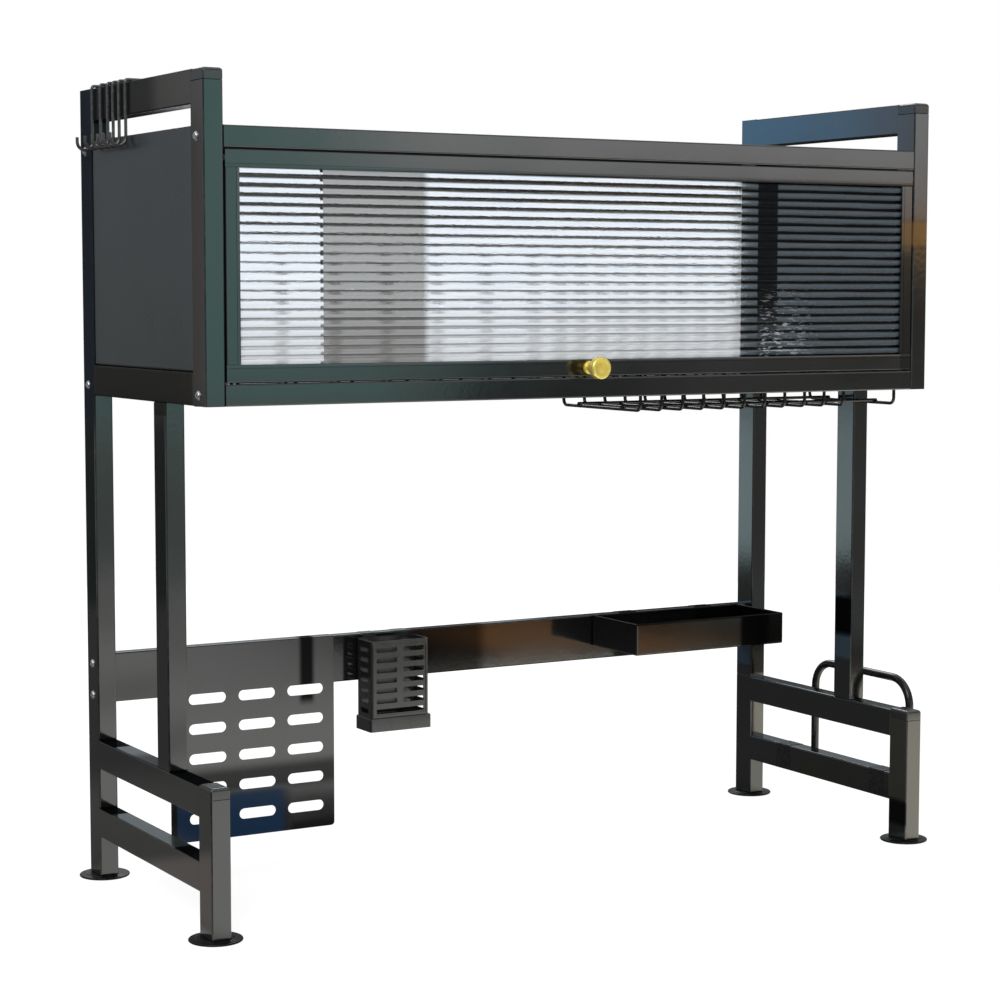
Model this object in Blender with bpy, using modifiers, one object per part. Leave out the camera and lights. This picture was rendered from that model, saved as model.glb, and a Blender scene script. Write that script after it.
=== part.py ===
"""Over-sink dish drainer: two tube side frames, a glazed cabinet and hang-on accessories.

Metres, +Z up. X runs along the width, the front faces -Y and the origin is at the
bottom centre, on the surface that the feet stand on.
"""
import bpy
import bmesh
import math
from mathutils import Vector

# Overall frame
OVERALL_WIDTH = 0.850
OVERALL_DEPTH = 0.318
OVERALL_HEIGHT = 0.812
TUBE = 0.020
TUBE_DEPTH = 0.030
TUBE_WALL = 0.0012
TUBE_EDGE = 0.0016
FIT = 0.0003
OVERRUN = 0.004
MERGE = 0.000005
TURN_STEPS = 24
PIN_STEPS = 16
WIRE_ROUND_STEPS = 1
ROD_ROUND_STEPS = 2

# Base frames
BASE_HEIGHT = 0.1455
BASE_SETBACK = -0.003
BASE_RAIL_HEIGHT = 0.030
LOWER_RAIL_BOTTOM = 0.044
MID_POST_SETBACK = 0.098
SPIGOT_LENGTH = 0.070
SPIGOT_EDGE = 0.0015
CAP_HEIGHT = 0.011
CAP_EDGE = 0.0034
CAP_STEPS = 2
CAP_PLUG_LENGTH = 0.012
CAP_STAND = 0.002
PLUG_PLAY = 0.0003
FOOT_DIAMETER = 0.052
FOOT_THICKNESS = 0.003
FOOT_EDGE = 0.0011
FOOT_PLUG_LENGTH = 0.020

# Cabinet carcass
CABINET_DROP = 0.0515
CABINET_HEIGHT = 0.258
SIDE_BAR_HEIGHT = 0.031
HANDLE_BAR_HEIGHT = 0.0325
RAIL_HEIGHT = 0.0205
RAIL_DEPTH = 0.018
SHEET = 0.001
PANEL_RECESS = 0.0015
TOP_FLANGE = 0.012

# Back crossbar
CROSSBAR_BOTTOM = 0.183
CROSSBAR_HEIGHT = 0.0515
CROSSBAR_THICKNESS = 0.014

# Flip-up door
DOOR_GAP = 0.0015
DOOR_THICKNESS = 0.012
DOOR_RAIL_HEIGHT = 0.0165
DOOR_STILE_WIDTH = 0.0143
DOOR_EDGE = 0.0007
GROOVE_DEPTH = 0.0045
PANEL_BACKING = 0.0026
REED_RISE = 0.0014
REED_COUNT = 21
REED_STEPS = 4
PANEL_SETBACK = 0.003
PIVOT_SETBACK = 0.0035
PIVOT_DROP = 0.008
PIVOT_RADIUS = 0.0015
PIVOT_PLAY = 0.00015
PIVOT_COLLAR_RADIUS = 0.0034
PIVOT_IN_DOOR = 0.008
PIVOT_IN_POST = 0.004
CATCH_WIDTH = 0.022
CATCH_HEIGHT = 0.011
CATCH_EDGE = 0.001

# Brass knob and its screw
KNOB_X = -0.010
KNOB_LENGTH = 0.025
KNOB_RADIUS = 0.0112
KNOB_HEAD_THICKNESS = 0.009
KNOB_NECK_RADIUS = 0.0042
KNOB_FOOT_RADIUS = 0.0068
KNOB_FOOT_THICKNESS = 0.0025
KNOB_EDGE = 0.0022
KNOB_BORE_DEPTH = 0.010
KNOB_CROWN_SHARE = 0.55
SCREW_RADIUS = 0.002
SCREW_HEAD_RADIUS = 0.0035
SCREW_HEAD_HEIGHT = 0.0022
SCREW_PLAY = 0.00015

# Wire racks inside the cabinet
RAIL_WIRE_RADIUS = 0.002
HOOP_WIRE_RADIUS = 0.00175
WELD = 0.0009
RACK_BEND = 0.006
BEND_STEPS = 2
DIVIDER_SETBACK = 0.170
DIVIDER_GAP = 0.014
DIVIDER_RISE = 0.106
RACK_DOOR_PLAY = 0.001
REAR_WIRE_INSET = 0.011
BOWL_RACK_RISE = 0.006
BOWL_PITCH = 0.0595
BOWL_LAST_X = 0.0325
BOWL_END_ROOM = 0.010
PLATE_RACK_DROP = 0.016
PLATE_PITCH = 0.0263
PLATE_FIRST_X = 0.0655
PLATE_END_ROOM = 0.060
PLATE_LAST_PLAY = 0.004
WIRE_OVERHANG = 0.0012
FLOOR_WIRE_SHARES = (0.22, 0.78)

# Perforated board on the crossbar
BOARD_SIDE_GAP = 0.0625
BOARD_WIDTH = 0.1915
BOARD_BOTTOM = 0.025
BOARD_SHEET = 0.0012
BOARD_LIP = 0.018
FOLD_RADIUS = 0.0012
FOLD_STEPS = 3
BOARD_CORNER = 0.004
BOARD_SLOT_LENGTH = 0.043
BOARD_SLOT_HEIGHT = 0.0115
BOARD_SLOT_COLUMNS = 3
BOARD_SLOT_ROWS = 5
BOARD_COLUMN_PITCH = 0.0573
BOARD_ROW_PITCH = 0.0322
BOARD_SLOT_FIRST = 0.024
BOARD_SLOT_SHIFT = 0.004
SLOT_END_STEPS = 4

# Cutlery basket on the crossbar
BASKET_BOARD_GAP = 0.028
BASKET_WIDTH = 0.0705
BASKET_DEPTH = 0.035
BASKET_BOTTOM = 0.1305
BASKET_TOP = 0.2295
BASKET_WALL = 0.0016
BASKET_PLINTH_HEIGHT = 0.015
BASKET_PLINTH_FLARE = 0.0022
BASKET_SLOT_HEIGHT = 0.0052
BASKET_SLOT_PITCH = 0.0112
BASKET_SLOT_ROWS = 6
BASKET_SLOT_DROP = 0.010
BASKET_SLOT_WIDTH = 0.025
BASKET_SLOT_MIDDLE = 0.008
BASKET_SIDE_SLOT_WIDTH = 0.019
BASKET_DRAIN_SIZE = 0.005
BASKET_DRAINS = 4

# Tray on the crossbar
TRAY_SIDE_GAP = 0.016
TRAY_WIDTH = 0.206
TRAY_DEPTH = 0.092
TRAY_HEIGHT = 0.036
TRAY_CORNER = 0.002
TAB_WIDTH = 0.024
TAB_THICKNESS = 0.0016
TAB_LIP = 0.016
TAB_ROOT = 0.020
TRAY_TAB_SHARE = 0.26
BASKET_TAB_SHARE = 0.28
BASKET_TAB_WIDTH = 0.016

# Board holder on the right base frame
HOLDER_REAR_Y = 0.063
HOLDER_FRONT_Y = -0.1095
HOLDER_STRAP_WIDTH = 0.024
HOLDER_STRAP = 0.002
HOLDER_STRAP_DROP = 0.027
HOLDER_ROD_RADIUS = 0.0045
HOLDER_REACH = 0.027
HOLDER_TOP = 0.1705
HOLDER_ARCH_RADIUS = 0.030
HOLDER_FOOT_RADIUS = 0.009
HOLDER_ARM_RISE = 0.006

# Utensil hooks on the left handle bar
HOOK_SETBACKS = (0.041, 0.064, 0.084, 0.0985, 0.1145, 0.132)
HOOK_WIRE_RADIUS = 0.0016
HOOK_CORNER = 0.0022
HOOK_INNER_DROP = 0.020
HOOK_SHANK_DROP = 0.054
HOOK_CURL_RADIUS = 0.0082
HOOK_CURL_STEPS = 6
HOOK_TIP_RISE = 0.004

# Places worked out from the sizes above
HALF_WIDTH = OVERALL_WIDTH / 2
FRONT = -OVERALL_DEPTH / 2
REAR = OVERALL_DEPTH / 2
INNER = HALF_WIDTH - TUBE
POST_MIDDLE = HALF_WIDTH - TUBE / 2
LEG_BOTTOM = FOOT_THICKNESS + FIT
BASE_FRONT = FRONT + BASE_SETBACK
MID_POST_FRONT = FRONT + MID_POST_SETBACK
CABINET_TOP = OVERALL_HEIGHT - CABINET_DROP
CABINET_BOTTOM = CABINET_TOP - CABINET_HEIGHT
DOOR_BACK = FRONT + DOOR_THICKNESS
DOOR_LOW = CABINET_BOTTOM + RAIL_HEIGHT + DOOR_GAP
DOOR_HIGH = CABINET_TOP - RAIL_HEIGHT - DOOR_GAP
DOOR_HALF = INNER - DOOR_GAP
GLASS_FRONT = FRONT + PANEL_SETBACK
GLASS_BACK = GLASS_FRONT + REED_RISE + PANEL_BACKING
PIVOT_Y = FRONT + PIVOT_SETBACK
PIVOT_Z = DOOR_HIGH - PIVOT_DROP
KNOB_Z = DOOR_LOW + DOOR_RAIL_HEIGHT / 2
BAR_MIDDLE_Y = REAR - TUBE_DEPTH / 2
BAR_FRONT = BAR_MIDDLE_Y - CROSSBAR_THICKNESS / 2
BAR_BACK = BAR_MIDDLE_Y + CROSSBAR_THICKNESS / 2
BAR_TOP = CROSSBAR_BOTTOM + CROSSBAR_HEIGHT
LEDGE_TOP = CABINET_BOTTOM + RAIL_HEIGHT
RAIL_WIRE_Z = LEDGE_TOP + FIT + RAIL_WIRE_RADIUS
HANG_WIRE_Z = RAIL_WIRE_Z + RAIL_WIRE_RADIUS + HOOP_WIRE_RADIUS - WELD
FRONT_WIRE_Y = DOOR_BACK + RACK_DOOR_PLAY + RAIL_WIRE_RADIUS
REAR_WIRE_Y = REAR - RAIL_DEPTH + REAR_WIRE_INSET
HOOP_FRONT_Y = FRONT + RAIL_DEPTH + FIT + HOOP_WIRE_RADIUS
DIVIDER_Y = FRONT + DIVIDER_SETBACK
DIVIDER_TOP = CABINET_BOTTOM + DIVIDER_RISE
LOWER_RAIL_TOP = LOWER_RAIL_BOTTOM + BASE_RAIL_HEIGHT
PLUG_HALF_WIDTH = TUBE / 2 - TUBE_WALL - PLUG_PLAY
PLUG_HALF_DEPTH = TUBE_DEPTH / 2 - TUBE_WALL - PLUG_PLAY
BOARD_CENTRE_X = BOARD_SIDE_GAP + BOARD_WIDTH / 2 - INNER
BASKET_CENTRE_X = BOARD_CENTRE_X + (BOARD_WIDTH + BASKET_WIDTH) / 2 + BASKET_BOARD_GAP
TRAY_CENTRE_X = INNER - TRAY_SIDE_GAP - TRAY_WIDTH / 2
SIDES = (("left", -1), ("right", 1))
AXES = "XYZ"


for old in list(bpy.data.objects):
    bpy.data.objects.remove(old, do_unlink=True)


def new_collection(name):
    collection = bpy.data.collections.new(name)
    bpy.context.scene.collection.children.link(collection)
    return collection


PARTS = new_collection("dish_drainer")
CUTTERS = new_collection("cutters")


def finish(name, colour, roughness, metallic):
    material = bpy.data.materials.new(name)
    material.use_nodes = True
    shader = material.node_tree.nodes["Principled BSDF"]
    shader.inputs["Base Color"].default_value = (*colour, 1)
    shader.inputs["Roughness"].default_value = roughness
    shader.inputs["Metallic"].default_value = metallic
    material.diffuse_color = (*colour, 1)
    return material


STEEL = finish("painted_tube", (0.055, 0.062, 0.064), 0.32, 0.6)
SHEET_STEEL = finish("painted_sheet", (0.048, 0.048, 0.047), 0.45, 0.5)
DOOR_STEEL = finish("door_frame", (0.062, 0.068, 0.068), 0.34, 0.6)
ACRYLIC = finish("reeded_acrylic", (0.82, 0.86, 0.87), 0.08, 0.0)
BRASS = finish("brass", (0.83, 0.60, 0.16), 0.22, 1.0)
ZINC = finish("zinc_screw", (0.62, 0.62, 0.60), 0.35, 1.0)
WIRE = finish("coated_wire", (0.02, 0.02, 0.021), 0.40, 0.2)
PLASTIC = finish("moulded_plastic", (0.035, 0.035, 0.034), 0.55, 0.0)
RUBBER = finish("foot_rubber", (0.012, 0.012, 0.012), 0.75, 0.0)
NYLON = finish("pivot_nylon", (0.05, 0.05, 0.05), 0.50, 0.0)


def add_object(name, mesh, material, collection=PARTS):
    mesh.name = name
    mesh.materials.clear()
    if material:
        mesh.materials.append(material)
    thing = bpy.data.objects.new(name, mesh)
    collection.objects.link(thing)
    if collection is CUTTERS:
        thing.hide_render = True
        thing.display_type = "WIRE"
    return thing


def box(name, low, high, material=None, rounded=(), radius=0, steps=2, collection=PARTS):
    """A block between two corners; edges along the axes in rounded are rounded off."""
    low = Vector(low)
    high = Vector(high)
    size = high - low
    shape = bmesh.new()
    bmesh.ops.create_cube(shape, size=1)
    bmesh.ops.scale(shape, vec=size, verts=shape.verts)
    if radius:
        picked = [e for e in shape.edges if edge_axis(e) in rounded]
        bmesh.ops.bevel(shape, geom=picked, offset=radius, segments=steps, profile=0.5, affect="EDGES")
    mesh = bpy.data.meshes.new(name)
    shape.to_mesh(mesh)
    shape.free()
    thing = add_object(name, mesh, material, collection)
    thing.location = (low + high) / 2
    return thing


def edge_axis(edge):
    run = edge.verts[1].co - edge.verts[0].co
    return AXES[max(range(3), key=lambda i: abs(run[i]))]


def boolean(target, tool, operation):
    modifier = target.modifiers.new(operation.lower(), "BOOLEAN")
    modifier.operation = operation
    modifier.solver = "EXACT"
    modifier.object = tool


def cut(target, tool):
    boolean(target, tool, "DIFFERENCE")


def weld(target, tool):
    boolean(target, tool, "UNION")


def tube(name, low, high, axis, material, closed_low=False, closed_high=False):
    """A thin-walled rectangular tube along one axis, with rounded long edges."""
    run = AXES.index(axis)
    body = box(name, low, high, material, rounded=axis, radius=TUBE_EDGE)
    inner_low = [value + TUBE_WALL for value in low]
    inner_high = [value - TUBE_WALL for value in high]
    inner_low[run] = low[run] + (TUBE_WALL if closed_low else -OVERRUN)
    inner_high[run] = high[run] - (TUBE_WALL if closed_high else -OVERRUN)
    cut(body, box(name + "_inside", inner_low, inner_high, collection=CUTTERS,
                  rounded=axis, radius=TUBE_EDGE - TUBE_WALL, steps=1))
    return body


def rounded_path(corners, radius, steps):
    """Corner points joined by straight runs, with each corner swept to an arc."""
    points = [Vector(corners[0])]
    for before, corner, after in zip(corners, corners[1:], corners[2:]):
        corner = Vector(corner)
        inward = (corner - Vector(before)).normalized()
        outward = (Vector(after) - corner).normalized()
        turn = inward.angle(outward)
        reach = radius * math.tan(turn / 2)
        start = corner - inward * reach
        centre_line = (outward - inward).normalized()
        centre = corner + centre_line * (radius / math.cos(turn / 2))
        arm = start - centre
        for step in range(steps + 1):
            share = turn * step / steps
            points.append(centre + arm * math.cos(share) + inward * radius * math.sin(share))
    points.append(Vector(corners[-1]))
    return points


def wire_mesh(name, path, radius, resolution):
    """One closed round wire along a path of points, as a mesh."""
    curve = bpy.data.curves.new(name, "CURVE")
    curve.dimensions = "3D"
    curve.bevel_depth = radius
    curve.bevel_resolution = resolution
    curve.use_fill_caps = True
    spline = curve.splines.new("POLY")
    spline.points.add(len(path) - 1)
    for point, place in zip(spline.points, path):
        point.co = (*place, 1)
    guide = bpy.data.objects.new(name, curve)
    CUTTERS.objects.link(guide)
    bpy.context.view_layer.update()
    seen = guide.evaluated_get(bpy.context.evaluated_depsgraph_get())
    mesh = bpy.data.meshes.new_from_object(seen)
    bpy.data.objects.remove(guide)
    bpy.data.curves.remove(curve)
    shape = bmesh.new()
    shape.from_mesh(mesh)
    bmesh.ops.remove_doubles(shape, verts=shape.verts, dist=MERGE)
    bmesh.ops.recalc_face_normals(shape, faces=shape.faces)
    shape.to_mesh(mesh)
    shape.free()
    return mesh


def joined(name, meshes, material, collection):
    """Several closed wires that do not meet, gathered in one object."""
    shape = bmesh.new()
    for mesh in meshes:
        shape.from_mesh(mesh)
        bpy.data.meshes.remove(mesh)
    mesh = bpy.data.meshes.new(name)
    shape.to_mesh(mesh)
    shape.free()
    return add_object(name, mesh, material, collection)


def folded_sheet(name, path, along, width, thickness, material, collection=PARTS, corner=0):
    """Sheet metal: a folded line swept along one axis, thickened away from the bar it hooks."""
    run = AXES.index(along)
    shape = bmesh.new()
    near = [shape.verts.new(point) for point in path]
    far = [shape.verts.new(point) for point in path]
    for one, two in zip(near, far):
        one.co[run] -= width / 2
        two.co[run] += width / 2
    for i in range(len(path) - 1):
        shape.faces.new((near[i], near[i + 1], far[i + 1], far[i]))
    if corner:
        bmesh.ops.bevel(shape, geom=[near[0], far[0]], offset=corner, segments=FOLD_STEPS,
                        profile=0.5, affect="VERTICES")
    mesh = bpy.data.meshes.new(name)
    shape.to_mesh(mesh)
    shape.free()
    thing = add_object(name, mesh, material, collection)
    skin = thing.modifiers.new("thickness", "SOLIDIFY")
    skin.thickness = thickness
    skin.offset = -1
    skin.use_even_offset = True
    return thing


def turned(name, profile, place, material, steps=TURN_STEPS, collection=PARTS):
    """Pairs of (radius, height), listed down the outer side, turned about the object's own Z."""
    mesh = bpy.data.meshes.new(name)
    mesh.from_pydata([(r, 0, z) for r, z in profile], [(i, i + 1) for i in range(len(profile) - 1)], [])
    thing = add_object(name, mesh, material, collection)
    screw = thing.modifiers.new("turn", "SCREW")
    screw.steps = steps
    screw.render_steps = steps
    screw.use_merge_vertices = True
    screw.merge_threshold = MERGE
    screw.use_smooth_shade = True
    thing.location = place
    return thing


def arc(centre, radius, start, end, steps):
    """Points on a flat arc, as pairs."""
    pairs = []
    for step in range(steps + 1):
        angle = math.radians(start + (end - start) * step / steps)
        pairs.append((centre[0] + radius * math.cos(angle), centre[1] + radius * math.sin(angle)))
    return pairs


def carry(name, place, *children):
    """An empty on the joint's axis that carries the moving pieces."""
    carrier = bpy.data.objects.new(name, None)
    carrier.location = place
    carrier.empty_display_size = TUBE
    PARTS.objects.link(carrier)
    bpy.context.view_layer.update()
    for child in children:
        child.parent = carrier
        child.matrix_parent_inverse = carrier.matrix_world.inverted()
    return carrier


def across(sign, near, far):
    """The low and high of an X span given from the middle outwards, on one side."""
    return tuple(sorted((sign * near, sign * far)))


# Base frames: two legs and two rails each side, with feet, caps and spigots

def plug(name, x, y, low, high, material=None, collection=CUTTERS):
    """A push-in plug that fills the bore of an upright tube, from one height to another."""
    return box(name, (x - PLUG_HALF_WIDTH, y - PLUG_HALF_DEPTH, low),
               (x + PLUG_HALF_WIDTH, y + PLUG_HALF_DEPTH, high), material,
               collection=collection, rounded="Z", radius=SPIGOT_EDGE, steps=1)


def foot(name, x, y):
    """A round rubber pad with a plug that pushes up into the leg."""
    profile = [(0, FOOT_THICKNESS)]
    profile += [(FOOT_DIAMETER / 2 - FOOT_EDGE, FOOT_THICKNESS)]
    profile += [(FOOT_DIAMETER / 2, FOOT_THICKNESS - FOOT_EDGE)]
    profile += [(FOOT_DIAMETER / 2, 0), (0, 0)]
    pad = turned(name, profile, (x, y, 0), RUBBER)
    weld(pad, plug(name + "_plug", x, y, FOOT_THICKNESS / 2, FOOT_THICKNESS + FOOT_PLUG_LENGTH))
    return pad


def cap(name, x, y, top):
    """A plastic tube cap with a rounded crown and a plug below it."""
    wide, deep = TUBE / 2, TUBE_DEPTH / 2
    crown = box(name, (x - wide, y - deep, top - CAP_HEIGHT), (x + wide, y + deep, top), PLASTIC)
    shape = bmesh.new()
    shape.from_mesh(crown.data)
    kept = [e for e in shape.edges if max(v.co.z for v in e.verts) > 0]
    bmesh.ops.bevel(shape, geom=kept, offset=CAP_EDGE, segments=CAP_STEPS, profile=0.5, affect="EDGES")
    shape.to_mesh(crown.data)
    shape.free()
    weld(crown, plug(name + "_plug", x, y, top - CAP_HEIGHT - CAP_PLUG_LENGTH, top - CAP_HEIGHT / 2))
    return crown


def base_frame(side, sign):
    low_x, high_x = across(sign, INNER, HALF_WIDTH)
    x = sign * POST_MIDDLE
    leg_top = BASE_HEIGHT + CAP_STAND - CAP_HEIGHT - FIT
    tube(side + "_base_rear_leg", (low_x, REAR - TUBE_DEPTH, LEG_BOTTOM),
         (high_x, REAR, BASE_HEIGHT), "Z", STEEL)
    tube(side + "_base_front_leg", (low_x, BASE_FRONT, LEG_BOTTOM),
         (high_x, BASE_FRONT + TUBE_DEPTH, leg_top), "Z", STEEL)
    for name, bottom in (("lower", LOWER_RAIL_BOTTOM), ("upper", BASE_HEIGHT - BASE_RAIL_HEIGHT)):
        tube(f"{side}_base_{name}_rail", (low_x, BASE_FRONT + TUBE_DEPTH + FIT, bottom),
             (high_x, REAR - TUBE_DEPTH - FIT, bottom + BASE_RAIL_HEIGHT), "Y", STEEL)
    cap(side + "_base_leg_cap", x, BASE_FRONT + TUBE_DEPTH / 2, BASE_HEIGHT + CAP_STAND)
    foot(side + "_rear_foot", x, REAR - TUBE_DEPTH / 2)
    foot(side + "_front_foot", x, BASE_FRONT + TUBE_DEPTH / 2)


# Side frames: posts, handle bar, bottom bar and the sheet side panel

def side_frame(side, sign):
    low_x, high_x = across(sign, INNER, HALF_WIDTH)
    x = sign * POST_MIDDLE
    post_foot = BASE_HEIGHT + FIT
    tube(side + "_rear_post", (low_x, REAR - TUBE_DEPTH, post_foot), (high_x, REAR, OVERALL_HEIGHT),
         "Z", STEEL, closed_high=True)
    tube(side + "_mid_post", (low_x, MID_POST_FRONT, post_foot),
         (high_x, MID_POST_FRONT + TUBE_DEPTH, CABINET_BOTTOM - FIT), "Z", STEEL)
    front_post = tube(side + "_front_post", (low_x, FRONT, CABINET_BOTTOM),
                      (high_x, FRONT + TUBE_DEPTH, OVERALL_HEIGHT - CAP_HEIGHT - FIT),
                      "Z", STEEL, closed_low=True)
    cap(side + "_front_post_cap", x, FRONT + TUBE_DEPTH / 2, OVERALL_HEIGHT)
    bar_front = FRONT + TUBE_DEPTH + FIT
    bar_rear = REAR - TUBE_DEPTH - FIT
    tube(side + "_handle_bar", (low_x, bar_front, OVERALL_HEIGHT - HANDLE_BAR_HEIGHT),
         (high_x, bar_rear, OVERALL_HEIGHT), "Y", STEEL)
    tube(side + "_bottom_bar", (low_x, bar_front, CABINET_BOTTOM),
         (high_x, bar_rear, CABINET_BOTTOM + SIDE_BAR_HEIGHT), "Y", STEEL)
    side_panel(side, sign, bar_front, bar_rear)
    for name, y, drop in (("rear", REAR - TUBE_DEPTH / 2, SPIGOT_LENGTH / 2),
                          ("mid", MID_POST_FRONT + TUBE_DEPTH / 2, -FIT)):
        plug(f"{side}_{name}_spigot", x, y, BASE_HEIGHT - drop, BASE_HEIGHT + SPIGOT_LENGTH / 2,
             STEEL, PARTS)
    return front_post


def side_panel(side, sign, front, rear):
    """A shallow sheet pan with its flanges turned inwards, between the posts and bars."""
    low_x, high_x = across(sign, INNER, HALF_WIDTH - PANEL_RECESS)
    pan = box(side + "_side_panel", (low_x, front, CABINET_BOTTOM + SIDE_BAR_HEIGHT + FIT),
              (high_x, rear, CABINET_TOP), SHEET_STEEL)
    open_side(pan, Vector((-sign, 0, 0)))


def open_side(pan, facing):
    """Takes one face off a block and thickens the rest inwards as sheet."""
    shape = bmesh.new()
    shape.from_mesh(pan.data)
    shape.normal_update()
    gone = [f for f in shape.faces if f.normal.dot(facing) > 0.5]
    bmesh.ops.delete(shape, geom=gone, context="FACES_ONLY")
    shape.to_mesh(pan.data)
    shape.free()
    skin = pan.modifiers.new("thickness", "SOLIDIFY")
    skin.thickness = SHEET
    skin.offset = -1
    skin.use_even_offset = True


# Cabinet rails, top sheet and the back crossbar

def cabinet_rails():
    half = INNER - FIT
    for name, low_y in (("front", FRONT), ("rear", REAR - RAIL_DEPTH)):
        for level, low_z in (("top", CABINET_TOP - RAIL_HEIGHT), ("bottom", CABINET_BOTTOM)):
            tube(f"{name}_{level}_rail", (-half, low_y, low_z),
                 (half, low_y + RAIL_DEPTH, low_z + RAIL_HEIGHT), "X", STEEL)
    top = box("top_panel", (-half, FRONT + RAIL_DEPTH + FIT, CABINET_TOP - TOP_FLANGE),
              (half, REAR - RAIL_DEPTH - FIT, CABINET_TOP), SHEET_STEEL)
    open_side(top, Vector((0, 0, -1)))
    tube("back_crossbar", (-half, BAR_FRONT, CROSSBAR_BOTTOM), (half, BAR_BACK, BAR_TOP), "X", STEEL)


# Flip-up door: grooved frame, reeded acrylic, knob, pivots and catch

def groove(frame, low, high):
    cut(frame, box(frame.name + "_groove", low, high, collection=CUTTERS))


def door_frame():
    glass_low = GLASS_FRONT - FIT
    glass_high = GLASS_BACK + FIT
    edges = {"rounded": "X", "radius": DOOR_EDGE, "steps": 1}
    bottom = box("door_bottom_rail", (-DOOR_HALF, FRONT, DOOR_LOW),
                 (DOOR_HALF, DOOR_BACK, DOOR_LOW + DOOR_RAIL_HEIGHT), DOOR_STEEL, **edges)
    top = box("door_top_rail", (-DOOR_HALF, FRONT, DOOR_HIGH - DOOR_RAIL_HEIGHT),
              (DOOR_HALF, DOOR_BACK, DOOR_HIGH), DOOR_STEEL, **edges)
    reach = DOOR_HALF - DOOR_STILE_WIDTH + GROOVE_DEPTH
    groove(bottom, (-reach, glass_low, DOOR_LOW + DOOR_RAIL_HEIGHT - GROOVE_DEPTH),
           (reach, glass_high, DOOR_LOW + DOOR_RAIL_HEIGHT + OVERRUN))
    groove(top, (-reach, glass_low, DOOR_HIGH - DOOR_RAIL_HEIGHT - OVERRUN),
           (reach, glass_high, DOOR_HIGH - DOOR_RAIL_HEIGHT + GROOVE_DEPTH))
    frame = [bottom, top]
    for side, sign in SIDES:
        low_x, high_x = across(sign, DOOR_HALF - DOOR_STILE_WIDTH, DOOR_HALF)
        stile = box(f"door_{side}_stile", (low_x, FRONT, DOOR_LOW + DOOR_RAIL_HEIGHT + FIT),
                    (high_x, DOOR_BACK, DOOR_HIGH - DOOR_RAIL_HEIGHT - FIT), DOOR_STEEL,
                    rounded="Z", radius=DOOR_EDGE, steps=1)
        low_x, high_x = across(sign, DOOR_HALF - DOOR_STILE_WIDTH - OVERRUN, reach)
        groove(stile, (low_x, glass_low, DOOR_LOW), (high_x, glass_high, DOOR_HIGH))
        frame.append(stile)
    return frame


def reeded_panel():
    """A clear sheet whose front is a row of half-round reeds running along the width."""
    low_z = DOOR_LOW + DOOR_RAIL_HEIGHT - GROOVE_DEPTH + FIT
    high_z = DOOR_HIGH - DOOR_RAIL_HEIGHT + GROOVE_DEPTH - FIT
    sight = DOOR_HIGH - DOOR_LOW - 2 * DOOR_RAIL_HEIGHT
    pitch = sight / REED_COUNT
    root = GLASS_FRONT + REED_RISE
    outline = [(GLASS_BACK, high_z), (GLASS_BACK, low_z), (root, low_z)]
    for reed in range(REED_COUNT):
        start = DOOR_LOW + DOOR_RAIL_HEIGHT + reed * pitch
        for step in range(REED_STEPS):
            share = step / REED_STEPS
            outline.append((root - REED_RISE * math.sin(math.pi * share), start + pitch * share))
    outline.append((root, DOOR_HIGH - DOOR_RAIL_HEIGHT))
    outline.append((root, high_z))
    half = DOOR_HALF - DOOR_STILE_WIDTH + GROOVE_DEPTH - FIT
    shape = bmesh.new()
    loop = [shape.verts.new((-half, y, z)) for y, z in outline]
    section = shape.faces.new(loop)
    moved = bmesh.ops.extrude_face_region(shape, geom=[section])["geom"]
    ring = [item for item in moved if isinstance(item, bmesh.types.BMVert)]
    bmesh.ops.translate(shape, verts=ring, vec=(2 * half, 0, 0))
    bmesh.ops.recalc_face_normals(shape, faces=shape.faces)
    mesh = bpy.data.meshes.new("reeded_panel")
    shape.to_mesh(mesh)
    shape.free()
    return add_object("reeded_panel", mesh, ACRYLIC)


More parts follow.
